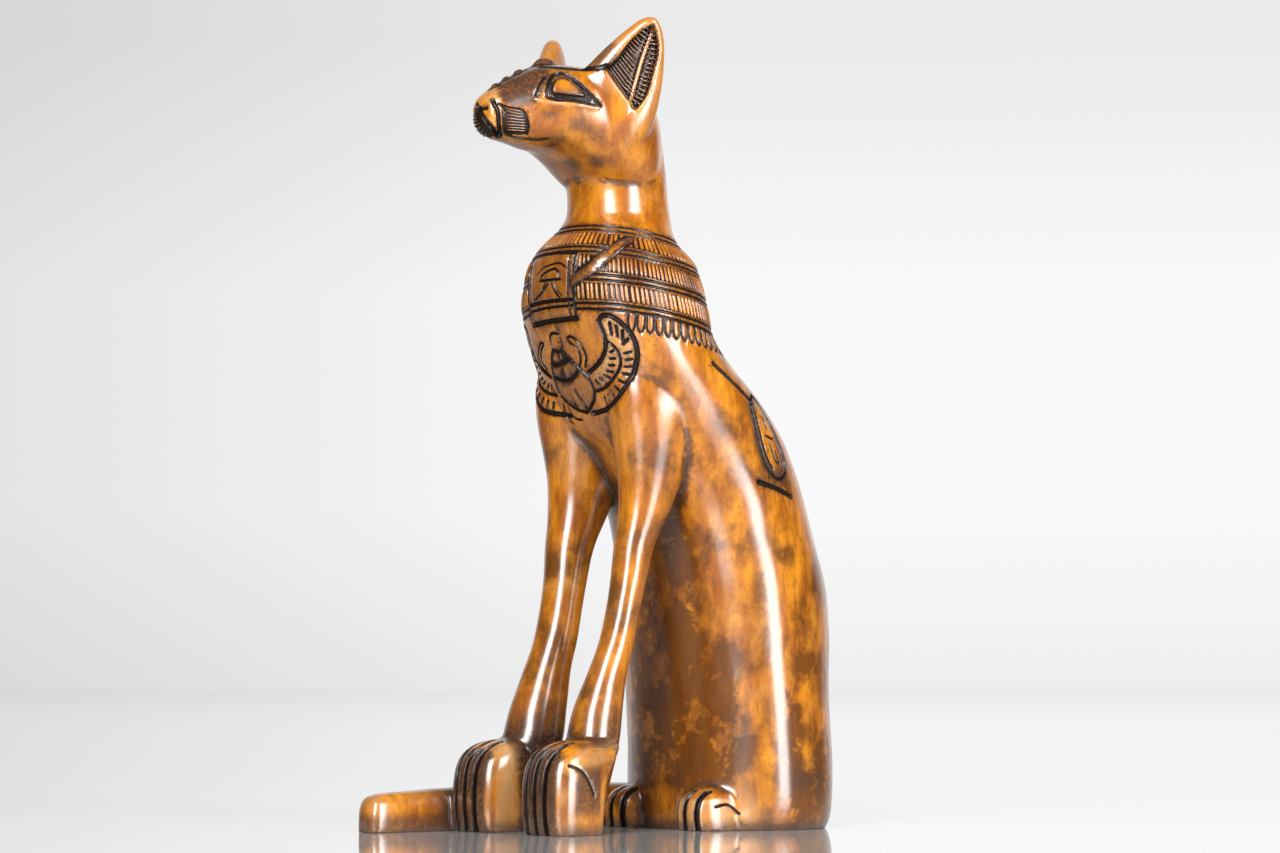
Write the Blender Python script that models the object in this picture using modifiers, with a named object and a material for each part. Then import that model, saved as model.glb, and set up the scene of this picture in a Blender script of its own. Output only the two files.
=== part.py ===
"""Seated Bastet cat, one figure carved from a single block of soft stone.

The cat faces -Y and its own left side is +X. It sits on the plane z = 0 on its haunches, its four
feet and its tail, which lies along its right side and runs out past the front paws.
All sizes of the figure are written in shares of its height: one unit is HEIGHT / 250, so at the real
height of 250 mm a unit is one millimetre. In the tables, y starts at the front of the front paws.
"""
import math

import bmesh
import bpy
import numpy as np
from mathutils import Vector

HEIGHT = 0.250
UNITS_HIGH = 250.0
UNIT = HEIGHT / UNITS_HIGH

VOXEL = 0.95
SOFTEN_STEPS = 9
SOFTEN_FACTOR = 0.5
TRIANGLES = 9700
RING_POINTS = 48
STATION_STEP = 2.5
SINK = -4.0

# Trunk and neck: height, y of the axis, half width, reach to the front, reach to the back.
TRUNK = (
    (-4, 86.0, 31.0, 23.0, 25.5),
    (0, 86.0, 34.5, 25.0, 28.0),
    (5, 86.0, 36.5, 26.0, 29.4),
    (18, 86.0, 37.0, 25.6, 30.2),
    (40, 84.5, 36.5, 24.6, 30.9),
    (60, 83.4, 36.0, 25.2, 32.8),
    (76, 82.0, 35.5, 25.6, 33.2),
    (90, 78.5, 35.0, 25.2, 31.8),
    (101, 75.8, 34.5, 26.0, 31.2),
    (110, 72.3, 34.0, 29.5, 31.8),
    (118, 68.3, 34.0, 31.4, 32.0),
    (125, 64.3, 34.0, 34.0, 31.4),
    (134, 57.0, 34.0, 31.4, 30.8),
    (143, 48.6, 33.5, 26.8, 28.8),
    (152, 43.9, 33.0, 25.4, 25.3),
    (162, 41.5, 32.4, 26.4, 25.4),
    (171, 40.6, 29.5, 25.8, 25.0),
    (176, 40.4, 26.6, 24.9, 24.1),
    (180.5, 39.8, 23.0, 21.6, 20.6),
    (185, 41.2, 19.0, 18.7, 17.8),
    (190, 42.4, 16.0, 15.8, 16.6),
    (198, 41.8, 15.2, 14.8, 16.3),
    (208, 39.9, 15.6, 14.6, 16.9),
    (218, 38.0, 16.0, 16.0, 16.7),
    (228, 36.5, 13.5, 13.5, 14.0),
    (235, 35.5, 7.0, 7.0, 7.0),
)
TRUNK_POWER = 2.15

# Front leg: height, distance of its axis from the middle plane, y, half width, half depth.
LEG = (
    (-4, 17.5, 12.0, 7.0, 7.0),
    (10, 17.0, 15.6, 8.2, 8.0),
    (26, 15.5, 20.8, 8.8, 8.8),
    (37, 15.2, 23.2, 7.8, 8.4),
    (48, 15.5, 26.5, 6.3, 7.0),
    (58, 15.8, 30.0, 5.9, 6.3),
    (68, 16.0, 32.5, 6.0, 6.0),
    (78, 16.2, 34.5, 6.2, 6.2),
    (87, 16.5, 36.2, 6.6, 7.0),
    (97, 16.9, 39.4, 7.8, 8.8),
    (108, 17.0, 42.2, 9.4, 11.4),
    (118, 17.0, 44.0, 11.4, 14.6),
    (130, 17.0, 44.6, 13.4, 17.6),
    (142, 16.0, 44.0, 12.4, 17.0),
    (152, 11.0, 43.0, 8.0, 9.0),
)

# The carver left the right front leg a little stouter than the left one.
LEG_STOUTER = {1: -0.6, -1: 0.8}

# Front paw: height, y of the front, y of the back, half width. Its middle is on the leg's own line.
PAW_MIDDLE = 18.0
PAW = (
    (-4, 0.0, 15.5, 9.2),
    (0, -1.8, 17.8, 10.8),
    (6, -2.8, 18.8, 11.4),
    (15, -2.6, 19.8, 11.4),
    (20.5, -1.6, 22.4, 11.1),
    (24.2, 0.8, 24.8, 10.2),
    (26.8, 5.0, 26.5, 8.2),
    (28.0, 9.5, 27.0, 5.0),
)
PAW_POWER = 3.2

# Hind foot: the same columns.
HIND_MIDDLE = 18.5
HIND_FOOT = (
    (-4, 56.0, 88.0, 7.8),
    (0, 54.8, 90.0, 8.8),
    (4, 54.2, 90.0, 9.0),
    (8, 54.6, 90.0, 8.8),
    (11, 56.4, 90.0, 7.8),
    (13, 60.5, 90.0, 5.4),
)
HIND_POWER = 3.0

# Head: y, height of the axis, reach up, reach down, half width.
HEAD = (
    (-11.2, 218.6, 2.2, 2.4, 2.4),
    (-10.4, 218.6, 5.2, 5.2, 4.6),
    (-8.0, 218.9, 6.8, 7.2, 7.0),
    (-4.0, 219.6, 8.8, 8.6, 8.6),
    (2.0, 220.6, 11.2, 10.3, 10.8),
    (8.0, 221.2, 13.6, 11.9, 13.8),
    (15.0, 220.8, 15.4, 12.4, 17.0),
    (23.0, 219.5, 16.8, 15.4, 19.6),
    (32.0, 217.0, 18.2, 19.6, 21.4),
    (41.0, 214.5, 19.0, 20.5, 20.0),
    (47.5, 212.5, 17.5, 17.0, 15.8),
    (52.5, 211.0, 11.0, 10.0, 9.4),
    (54.4, 210.5, 4.0, 4.0, 3.5),
)
HEAD_POWER = 2.25

# Ear on the left side: its two base corners and its tip. Then the share of the way up, how far the front
# edge and the outer edge bow out, and half the thickness.
EAR_FRONT = (11.5, 20.0, 233.0)
EAR_OUTER = (21.8, 37.5, 217.0)
EAR_TIP = (26.2, 37.0, 250.0)
EAR = (
    (-0.45, -8.0, -7.0, 5.0),
    (-0.20, -2.5, -2.0, 6.0),
    (0.00, 0.3, 1.6, 5.6),
    (0.20, 1.3, 3.2, 5.0),
    (0.45, 2.2, 4.4, 4.2),
    (0.70, 2.6, 4.6, 3.6),
    (0.88, 2.4, 3.8, 2.9),
    (0.97, 1.2, 2.0, 2.0),
    (1.00, 0.2, 0.4, 1.0),
)
EAR_POWER = 2.4
EAR_HOLLOW_DEPTH = 3.0
EAR_RIM = 0.6
EAR_SLOPE = 2.0

# Tail: x, y of its middle line on the ground, half width, height.
TAIL = (
    (4.0, 109.0, 6.5, 13.0),
    (-14.0, 111.0, 6.5, 13.0),
    (-29.0, 106.0, 6.5, 13.0),
    (-38.0, 94.5, 6.4, 13.0),
    (-40.0, 79.0, 6.3, 13.2),
    (-37.8, 58.0, 6.2, 13.4),
    (-35.0, 36.0, 6.1, 13.5),
    (-33.0, 14.0, 6.0, 13.5),
    (-31.4, -8.0, 5.8, 12.7),
    (-30.8, -26.0, 5.5, 11.6),
    (-30.6, -30.0, 4.4, 9.8),
    (-30.6, -31.4, 2.4, 6.8),
)
TAIL_POWER = 3.0

# Toes: spacing of the grooves, their depth and half width, how far back and up they run, how softly they
# end there, and the y between which the hind foot stands clear of the haunch.
TOE_PITCH = 4.7
TOE_DEPTH = 1.5
TOE_HALF_WIDTH = 1.3
TOE_END = 3.0
PAW_TOE_BACK = 9.0
PAW_TOE_TOP = 27.0
HIND_TOE_BACK = 62.0
HIND_TOE_TOP = 12.0
HIND_CLEAR = (45.0, 75.0)

# Broad collar: four grooves round the neck and shoulders. Each is level in x and drops by COLLAR_DROP for
# every unit of y, and its number is its height where y is 0. Petals hang from the lowest one.
COLLAR = (189.6, 181.3, 172.1, 163.1)
COLLAR_DROP = 0.16
COLLAR_LOWEST = 140.0
PETAL_DROP = 5.6
PETAL_PITCH = 2.6
PETAL_SHARE = 0.6
PETALS_ASIDE = 26.0
PETALS_BEHIND = 38.0
NECK_Y = 41.0
NECK_REACH = 30.0
LINE_DEPTH = 0.9
LINE_HALF_WIDTH = 1.2

# Lines on the chest: x and height of their points, the same on both sides of the middle plane. They stay
# between two heights and in front of CHEST_BACK.
CHEST_SPAN = (124.0, 183.0)
CHEST_BACK = 36.0
PENDANT_HALF = 11.3
PENDANT = ((0.0, 156.5), (11.3, 156.5), (11.6, 166.0), (10.8, 176.0), (0.0, 177.0))
CHEST_LINES = (
    PENDANT,
    ((0.0, 161.1), (11.3, 161.1)),
    ((12.2, 167.4), (16.5, 172.2), (20.6, 180.5)),
    ((0.0, 153.8), (2.4, 152.8), (3.1, 150.4), (2.3, 148.2)),
    ((2.3, 148.2), (5.2, 144.8), (7.5, 141.4), (8.8, 138.8), (9.0, 135.2), (7.0, 132.0), (3.2, 129.0), (0.0, 128.0)),
    ((0.0, 144.9), (5.0, 144.9)),
    ((0.0, 139.6), (8.0, 140.6)),
    ((6.6, 151.2), (9.8, 149.8), (12.0, 147.2), (11.8, 144.0), (9.6, 141.6)),
    ((18.3, 155.3), (19.6, 156.6), (21.9, 156.8), (23.9, 155.2), (26.2, 149.5), (26.0, 145.4), (22.9, 137.4),
     (17.6, 130.9), (10.4, 129.2), (5.9, 128.3)),
    ((18.3, 155.3), (19.0, 150.0), (18.1, 147.3), (15.1, 143.4), (9.8, 140.8)),
)

# Lines on the sides of the head: y and height of their points, and where they may cut.
HEAD_LOWEST = 208.0
HEAD_BACK = 28.0
HEAD_ASIDE = 2.0
MUZZLE_TOP = 222.0
HEAD_LINES = (
    ((4.2, 222.8), (7.2, 229.2), (11.3, 231.8), (15.8, 230.4), (18.8, 226.0), (20.6, 221.6)),
    ((4.2, 222.8), (11.0, 221.9), (16.0, 221.7), (20.6, 221.6)),
    ((8.6, 223.6), (10.0, 227.6), (13.2, 228.6), (16.4, 225.8), (17.2, 222.8)),
    ((-6.0, 212.4), (0.0, 211.2), (4.0, 210.9), (8.6, 211.4)),
    ((8.0, 236.2), (15.0, 234.9), (24.0, 233.4)),
)

# Panel on the left side of the back, like a rounded tablet on a bar, and the groove that leads to it: y and
# height of their points, and where they may cut.
BACK_ASIDE = 22.0
BACK_SPAN = (100.0, 146.0)
BACK_LINES = (
    ((72.0, 134.6), (69.6, 131.0), (71.0, 123.4), (73.2, 115.8), (76.6, 110.4), (80.6, 108.6), (84.0, 111.4),
     (83.4, 117.8), (79.0, 126.0), (75.4, 131.8), (72.0, 134.6)),
    ((72.4, 107.0), (85.6, 103.8)),
    ((54.4, 143.4), (60.4, 139.4), (67.6, 134.4)),
)

# Creases on each side of the narrow belly between the haunches: distance from the middle plane, half width,
# depth, and the top and the y between which they run.
BELLY_HALF = 6.4
BELLY_LINE = 2.0
BELLY_DEPTH = 1.6
BELLY_TOP = 88.0
BELLY_FADE = 12.0
BELLY_SPAN = (52.0, 66.0)

STONE_COLOUR = (0.42, 0.19, 0.05, 1.0)

# A smooth curve through rows a, b, c and d runs from b to c. These are the rows' weights in it for each
# power of the way along.
CURVE_WEIGHTS = np.array(((0, 2, 0, 0), (-1, 0, 1, 0), (2, -5, 4, -1), (-1, 3, -3, 1))) / 2


def clear_scene():
    for obj in list(bpy.data.objects):
        bpy.data.objects.remove(obj)


def smooth_rows(table, step):
    """Rows read from a smooth curve through the table's rows, about one step apart in the first column."""
    rows = np.array(table, float)
    padded = np.vstack([2 * rows[0] - rows[1], rows, 2 * rows[-1] - rows[-2]])
    out = []
    for i in range(len(rows) - 1):
        length = np.linalg.norm((rows[i + 1] - rows[i])[:2])
        parts = max(1, int(round(length / step)))
        for k in range(parts):
            powers = (k / parts) ** np.arange(4)
            out.append(powers @ CURVE_WEIGHTS @ padded[i : i + 4])
    out.append(rows[-1])
    return np.array(out)


def rounded(angle, power):
    """Cosine and sine of a superellipse: a power of 2 is an ellipse, and more is boxier."""
    c, s = math.cos(angle), math.sin(angle)
    return (
        math.copysign(abs(c) ** (2 / power), c),
        math.copysign(abs(s) ** (2 / power), s),
    )


def ring_angles():
    return [2 * math.pi * k / RING_POINTS for k in range(RING_POINTS)]


def loft(name, rings):
    """A closed mesh through rings of points, with a flat cap at each end."""
    mesh = bmesh.new()
    loops = [[mesh.verts.new(point) for point in ring] for ring in rings]
    count = len(rings[0])
    for low, high in zip(loops, loops[1:]):
        for k in range(count):
            mesh.faces.new((low[k], low[(k + 1) % count], high[(k + 1) % count], high[k]))
    mesh.faces.new(list(reversed(loops[0])))
    mesh.faces.new(loops[-1])
    bmesh.ops.recalc_face_normals(mesh, faces=mesh.faces)
    data = bpy.data.meshes.new(name)
    mesh.to_mesh(data)
    mesh.free()
    return data


def trunk():
    rings = []
    for z, y, half, front, back in smooth_rows(TRUNK, STATION_STEP):
        ring = []
        for angle in ring_angles():
            c, s = rounded(angle, TRUNK_POWER)
            ring.append((half * c, y + (back if s > 0 else front) * s, z))
        rings.append(ring)
    return loft("trunk", rings)


def front_leg(side):
    rings = []
    for z, x, y, half, deep in smooth_rows(LEG, STATION_STEP):
        half += LEG_STOUTER[side]
        deep += LEG_STOUTER[side]
        rings.append([(side * x + half * math.cos(a), y + deep * math.sin(a), z) for a in ring_angles()])
    return loft("front_leg", rings)


def foot(side, middle, table, power):
    rings = []
    for z, front, back, half in smooth_rows(table, 1.5):
        ring = []
        for angle in ring_angles():
            c, s = rounded(angle, power)
            ring.append((side * middle + half * c, (front + back) / 2 + (back - front) / 2 * s, z))
        rings.append(ring)
    return loft("foot", rings)


def head():
    rings = []
    for y, z, up, down, half in smooth_rows(HEAD, STATION_STEP):
        ring = []
        for angle in ring_angles():
            c, s = rounded(angle, HEAD_POWER)
            ring.append((half * c, y, z + (up if s > 0 else down) * s))
        rings.append(ring)
    return loft("head", rings)


def ear_axes():
    """Middle of the ear's base, the way across it, the way up it and the way it faces, on the left side."""
    front, outer, tip = Vector(EAR_FRONT), Vector(EAR_OUTER), Vector(EAR_TIP)
    middle = (front + outer) / 2
    across = (outer - front).normalized()
    up = (tip - middle).normalized()
    return middle, across, up, across.cross(up).normalized()


def ear(side):
    front, outer, tip = Vector(EAR_FRONT), Vector(EAR_OUTER), Vector(EAR_TIP)
    _, across, _, facing = ear_axes()
    rings = []
    for share, front_bow, outer_bow, thick in smooth_rows(EAR, 0.04):
        low = front.lerp(tip, share) - across * front_bow
        high = outer.lerp(tip, share) + across * outer_bow
        middle, half = (low + high) / 2, (high - low).length / 2
        ring = []
        for angle in ring_angles():
            c, s = rounded(angle, EAR_POWER)
            point = middle + across * (half * c) + facing * (thick * s)
            ring.append((side * point.x, point.y, point.z))
        rings.append(ring)
    return loft("ear", rings)


def tail():
    rows = smooth_rows(TAIL, STATION_STEP)
    path = rows[:, :2]
    ways = np.gradient(path, axis=0)
    ways /= np.linalg.norm(ways, axis=1)[:, None]
    rings = []
    for (x, y, half, height), (way_x, way_y) in zip(rows, ways):
        top, bottom = height, SINK
        ring = []
        for angle in ring_angles():
            c, s = rounded(angle, TAIL_POWER)
            ring.append((x - way_y * half * c, y + way_x * half * c, (top + bottom) / 2 + (top - bottom) / 2 * s))
        rings.append(ring)
    return loft("tail", rings)


def limb_meshes():
    meshes = [trunk(), head(), tail()]
    for side in (-1, 1):
        meshes.append(front_leg(side))
        meshes.append(foot(side, PAW_MIDDLE, PAW, PAW_POWER))
        meshes.append(foot(side, HIND_MIDDLE, HIND_FOOT, HIND_POWER))
        meshes.append(ear(side))
    return meshes


def joined(meshes):
    block = bmesh.new()
    for mesh in meshes:
        block.from_mesh(mesh)
        bpy.data.meshes.remove(mesh)
    data = bpy.data.meshes.new("figure")
    block.to_mesh(data)
    block.free()
    return data


def evaluated_copy(obj):
    graph = bpy.context.evaluated_depsgraph_get()
    return bpy.data.meshes.new_from_object(obj.evaluated_get(graph), depsgraph=graph)


def fused(data):
    """The limbs as one skin, softened where they meet."""
    obj = bpy.data.objects.new("fusing", data)
    bpy.context.scene.collection.objects.link(obj)
    skin = obj.modifiers.new("one skin", "REMESH")
    skin.mode = "VOXEL"
    skin.voxel_size = VOXEL
    soften = obj.modifiers.new("soften joins", "SMOOTH")
    soften.iterations = SOFTEN_STEPS
    soften.factor = SOFTEN_FACTOR
    mesh = evaluated_copy(obj)
    bpy.data.objects.remove(obj)
    return mesh


def smoothstep(low, high, value):
    t = np.clip((value - low) / (high - low), 0, 1)
    return t * t * (3 - 2 * t)


def groove(distance, half_width):
    """1 on a groove's line, falling to 0 at its edges."""
    return 1 - smoothstep(0.0, half_width, np.abs(distance))


def toe_cut(x, y, z, middle, back, top):
    """Depth of the grooves between the four toes of a foot."""
    away = np.abs(x) - middle
    lines = sum(groove(away - k * TOE_PITCH, TOE_HALF_WIDTH) for k in (-1, 0, 1))
    reach = (1 - smoothstep(back - TOE_END, back, y)) * (1 - smoothstep(top, top + TOE_END, z))
    return TOE_DEPTH * lines * reach


def line_distance(u, v, points):
    """Distance in a plane from each (u, v) to a line through the points."""
    nearest = np.full(len(u), 1e9)
    for (a_u, a_v), (b_u, b_v) in zip(points, points[1:]):
        way_u, way_v = b_u - a_u, b_v - a_v
        along = ((u - a_u) * way_u + (v - a_v) * way_v) / (way_u**2 + way_v**2)
        along = np.clip(along, 0, 1)
        nearest = np.minimum(nearest, np.hypot(u - a_u - along * way_u, v - a_v - along * way_v))
    return nearest


def line_cut(u, v, lines, here):
    """1 on the lines, where here holds."""
    cut = np.zeros(len(u))
    for points in lines:
        cut = np.maximum(cut, groove(line_distance(u, v, points), LINE_HALF_WIDTH))
    return cut * here


def collar_cut(x, y, z):
    """1 on the collar's grooves and on the outline of its petals."""
    level = z + COLLAR_DROP * y
    pendant = (np.abs(x) < PENDANT_HALF) & (y < CHEST_BACK)
    cut = np.zeros(len(x))
    for number, height in enumerate(COLLAR):
        line = groove(level - height, LINE_HALF_WIDTH)
        cut = np.maximum(cut, line * ~(pendant & (number > 1)))
    around = np.arctan2(x, NECK_Y - y) * NECK_REACH
    petal = np.abs((around / PETAL_PITCH) % 1 - 0.5) * 2
    hem = COLLAR[-1] - PETAL_DROP * np.sqrt(np.clip(1 - petal**2, 0, 1))
    fringe = groove(level - hem, LINE_HALF_WIDTH) * (level < COLLAR[-1])
    aside = (np.abs(x) > PETALS_ASIDE) | (y > PETALS_BEHIND)
    return np.maximum(cut, PETAL_SHARE * fringe * aside) * (z > COLLAR_LOWEST)


def ear_hollow(x, y, z):
    """Depth of the hollow in the ears' open face, and the direction that it is cut."""
    middle, across, up, facing = ear_axes()
    tip = Vector(EAR_TIP)
    rise = (tip - middle).dot(up)
    px, py, pz = np.abs(x) - middle.x, y - middle.y, z - middle.z
    v = (px * up.x + py * up.y + pz * up.z) / rise
    u = px * across.x + py * across.y + pz * across.z
    n = px * facing.x + py * facing.y + pz * facing.z
    lean = (tip - middle).dot(across)
    u = u - lean * v
    half = (Vector(EAR_OUTER) - Vector(EAR_FRONT)).length / 2 * (1 - v) - EAR_RIM
    inside = smoothstep(0.0, EAR_SLOPE, half - np.abs(u)) * smoothstep(-0.02, 0.10, v)
    inside = inside * (1 - smoothstep(0.80, 0.92, v)) * smoothstep(-0.5, 1.5, n)
    return EAR_HOLLOW_DEPTH * inside, facing


def carve(mesh):
    """Cuts the toes, the ears' hollows and the carved lines into the skin."""
    count = len(mesh.vertices)
    points = np.empty(count * 3, np.float32)
    mesh.vertices.foreach_get("co", points)
    points = points.reshape(-1, 3).astype(float)
    normals = np.empty(count * 3, np.float32)
    mesh.vertex_normals.foreach_get("vector", normals)
    normals = normals.reshape(-1, 3)
    x, y, z = points.T
    hind_clear = (y > HIND_CLEAR[0]) & (y < HIND_CLEAR[1])
    depth = toe_cut(x, y, z, PAW_MIDDLE, PAW_TOE_BACK, PAW_TOE_TOP)
    depth += toe_cut(x, y, z, HIND_MIDDLE, HIND_TOE_BACK, HIND_TOE_TOP) * hind_clear
    on_chest = (z > CHEST_SPAN[0]) & (z < CHEST_SPAN[1]) & (y < CHEST_BACK)
    on_head = (z > HEAD_LOWEST) & (y < HEAD_BACK) & (np.abs(x) > HEAD_ASIDE)
    on_back = (x > BACK_ASIDE) & (z > BACK_SPAN[0]) & (z < BACK_SPAN[1])
    on_muzzle = (y < 0) & (z > HEAD_LOWEST) & (z < MUZZLE_TOP)
    on_belly = ((y > BELLY_SPAN[0]) & (y < BELLY_SPAN[1])) * smoothstep(0, BELLY_FADE, BELLY_TOP - z)
    cut = collar_cut(x, y, z)
    cut = np.maximum(cut, line_cut(np.abs(x), z, CHEST_LINES, on_chest))
    cut = np.maximum(cut, line_cut(y, z, HEAD_LINES, on_head))
    cut = np.maximum(cut, line_cut(y, z, BACK_LINES, on_back))
    cut = np.maximum(cut, groove(x, LINE_HALF_WIDTH) * on_muzzle)
    belly = groove(np.abs(x) - BELLY_HALF, BELLY_LINE) * on_belly
    depth += LINE_DEPTH * cut + BELLY_DEPTH * belly
    moved = points - normals * depth[:, None]
    hollow, facing = ear_hollow(x, y, z)
    side = np.sign(x)
    moved -= hollow[:, None] * np.stack([side * facing.x, side * 0 + facing.y, side * 0 + facing.z], 1)
    mesh.vertices.foreach_set("co", moved.astype(np.float32).ravel())
    mesh.update()


def thinned(mesh, triangles):
    """The skin with its triangles kept where it bends most."""
    obj = bpy.data.objects.new("thinning", mesh)
    bpy.context.scene.collection.objects.link(obj)
    split = obj.modifiers.new("triangles", "TRIANGULATE")
    split.min_vertices = 4
    fewer = obj.modifiers.new("fewer", "DECIMATE")
    fewer.ratio = triangles / (2 * len(mesh.polygons))
    result = evaluated_copy(obj)
    bpy.data.objects.remove(obj)
    return result


def seated(mesh):
    """The skin cut off flat at z = 0, so that the feet, haunches and tail stand on one plane."""
    block = bmesh.new()
    block.from_mesh(mesh)
    geometry = block.verts[:] + block.edges[:] + block.faces[:]
    bmesh.ops.bisect_plane(
        block, geom=geometry, dist=0.0001, plane_co=(0, 0, 0), plane_no=(0, 0, -1), clear_outer=True
    )
    rim = [edge for edge in block.edges if edge.is_boundary]
    bmesh.ops.holes_fill(block, edges=rim, sides=0)
    bmesh.ops.triangulate(block, faces=[face for face in block.faces if len(face.verts) > 3])
    bmesh.ops.recalc_face_normals(block, faces=block.faces)
    block.to_mesh(mesh)
    block.free()
    return mesh


def centred(mesh):
    """The figure at its real size, with the middle of its box's underside at the origin."""
    points = np.array([vertex.co for vertex in mesh.vertices])
    low, high = points.min(0), points.max(0)
    middle = (low + high) / 2
    scale = UNITS_HIGH / (high[2] - low[2]) * UNIT
    points = (points - (middle[0], middle[1], low[2])) * scale
    mesh.vertices.foreach_set("co", points.astype(np.float32).ravel())
    mesh.update()
    return mesh


def stone():
    material = bpy.data.materials.new("stained stone")
    material.use_nodes = True
    shader = material.node_tree.nodes["Principled BSDF"]
    shader.inputs["Base Color"].default_value = STONE_COLOUR
    shader.inputs["Roughness"].default_value = 0.3
    shader.inputs["Metallic"].default_value = 0.0
    return material


def build():
    clear_scene()
    skin = fused(joined(limb_meshes()))
    carve(skin)
    figure = centred(seated(thinned(skin, TRIANGLES)))
    figure.shade_smooth()
    figure.materials.append(stone())
    collection = bpy.data.collections.new("bastet cat statue")
    bpy.context.scene.collection.children.link(collection)
    collection.objects.link(bpy.data.objects.new("cat_figure", figure))


build()
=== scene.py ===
# %% [markdown]
# # A seated cat carved from stained soapstone
#
# The object is a shelf figure about 25 cm tall: a slim cat that sits on its haunches with a broad collar,
# a pendant and a winged scarab on its chest, and its tail laid along one side. A carver sawed and filed it
# from one block of soft stone, cut the ornament with a small gouge, stained it honey brown, rubbed a dark
# patina into the cuts and waxed it until it shone.
#
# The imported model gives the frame: metres, +Z up, the cat faces -Y and its own left side is +X. This script
# makes a finer skin over the same forms, carves it, and gives it the stone's finish.

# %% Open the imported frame
import math

import bmesh
import bpy
import numpy as np
from mathutils import Matrix, Vector
from mathutils.bvhtree import BVHTree


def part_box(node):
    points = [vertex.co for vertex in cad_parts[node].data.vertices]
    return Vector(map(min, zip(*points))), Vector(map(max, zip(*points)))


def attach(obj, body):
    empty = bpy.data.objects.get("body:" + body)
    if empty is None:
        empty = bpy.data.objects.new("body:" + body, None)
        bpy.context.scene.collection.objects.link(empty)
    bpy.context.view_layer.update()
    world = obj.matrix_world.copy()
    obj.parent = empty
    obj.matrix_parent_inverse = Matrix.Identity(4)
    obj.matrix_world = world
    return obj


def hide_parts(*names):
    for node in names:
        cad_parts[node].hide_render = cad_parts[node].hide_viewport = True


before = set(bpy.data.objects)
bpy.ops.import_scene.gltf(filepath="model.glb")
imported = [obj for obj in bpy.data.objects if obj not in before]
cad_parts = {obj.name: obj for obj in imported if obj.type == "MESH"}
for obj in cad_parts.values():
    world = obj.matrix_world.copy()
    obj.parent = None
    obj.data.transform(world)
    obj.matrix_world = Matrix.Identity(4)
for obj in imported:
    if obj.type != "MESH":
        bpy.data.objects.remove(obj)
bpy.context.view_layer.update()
MM = 0.001

# %% [markdown]
# ## The camera
#
# The photograph is taken from the cat's left front, low down, with a long lens tipped up a little, so the
# cat looms over the table. A camera could be placed by eye, but here its place was worked out from the feet,
# the paws and the tail. The focal length is kept in pixels of the photograph, because that is what the
# measuring gave, and turned into a lens length at the end.

# %% Camera at the photograph's angle
PHOTO_WIDTH, PHOTO_HEIGHT = 1280, 853
AZIMUTH = math.radians(52)
DISTANCE = 1.100
EYE_HEIGHT = 0.045
FOCAL_PIXELS = 3520
HORIZON_ROW = 684
AIM_COLUMN = 631
AIM = Vector((0.00464, 0.00487, 0.0))
SENSOR_MM = 36


def tilted(first, second, angle):
    """The first way turned by an angle towards the second one."""
    return first * math.cos(angle) + second * math.sin(angle)


ahead = Vector((-math.sin(AZIMUTH), math.cos(AZIMUTH), 0))
right = Vector((math.cos(AZIMUTH), math.sin(AZIMUTH), 0))
up = Vector((0, 0, 1))
eye = AIM - ahead * DISTANCE + up * EYE_HEIGHT
yaw = math.atan((PHOTO_WIDTH / 2 - AIM_COLUMN) / FOCAL_PIXELS)
pitch = math.atan((HORIZON_ROW - PHOTO_HEIGHT / 2) / FOCAL_PIXELS)
ahead, right = tilted(ahead, right, yaw), tilted(right, -ahead, yaw)
ahead, up = tilted(ahead, up, pitch), tilted(up, -ahead, pitch)

camera = bpy.data.objects.new("camera", bpy.data.cameras.new("camera"))
camera.data.sensor_width = SENSOR_MM
camera.data.lens = FOCAL_PIXELS / PHOTO_WIDTH * SENSOR_MM
turn = Matrix((right, up, -ahead)).transposed()
camera.matrix_world = Matrix.Translation(eye) @ turn.to_4x4()
bpy.context.scene.collection.objects.link(camera)
bpy.context.scene.camera = camera
print("lens mm:", round(camera.data.lens, 1), "pitch in degrees:", round(math.degrees(pitch), 2))

# %% [markdown]
# ## Plain colours
#
# Blender's default view softens strong colours as film does, which would turn the honey stain pink. The
# plain view keeps a colour as it was chosen and lets the highlights on the wax clip to white, as they do in
# the photograph.

# %% Colours as chosen
bpy.context.scene.view_settings.view_transform = "Standard"
print("view:", bpy.context.scene.view_settings.view_transform)

# %% [markdown]
# ## The cat's forms
#
# Under the ornament the cat is a handful of plain forms: a trunk that narrows into a neck, a wedge of a
# head, two ears, two straight front legs on square paws, two hind feet and a tail. Each could be sculpted,
# but a loft through a short table of cross-sections is exact and easy to correct: one row is one station,
# with its place and its reach to each side. The tables are those of the solid model, in millimetres, with
# y counted from the front of the front paws.

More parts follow.
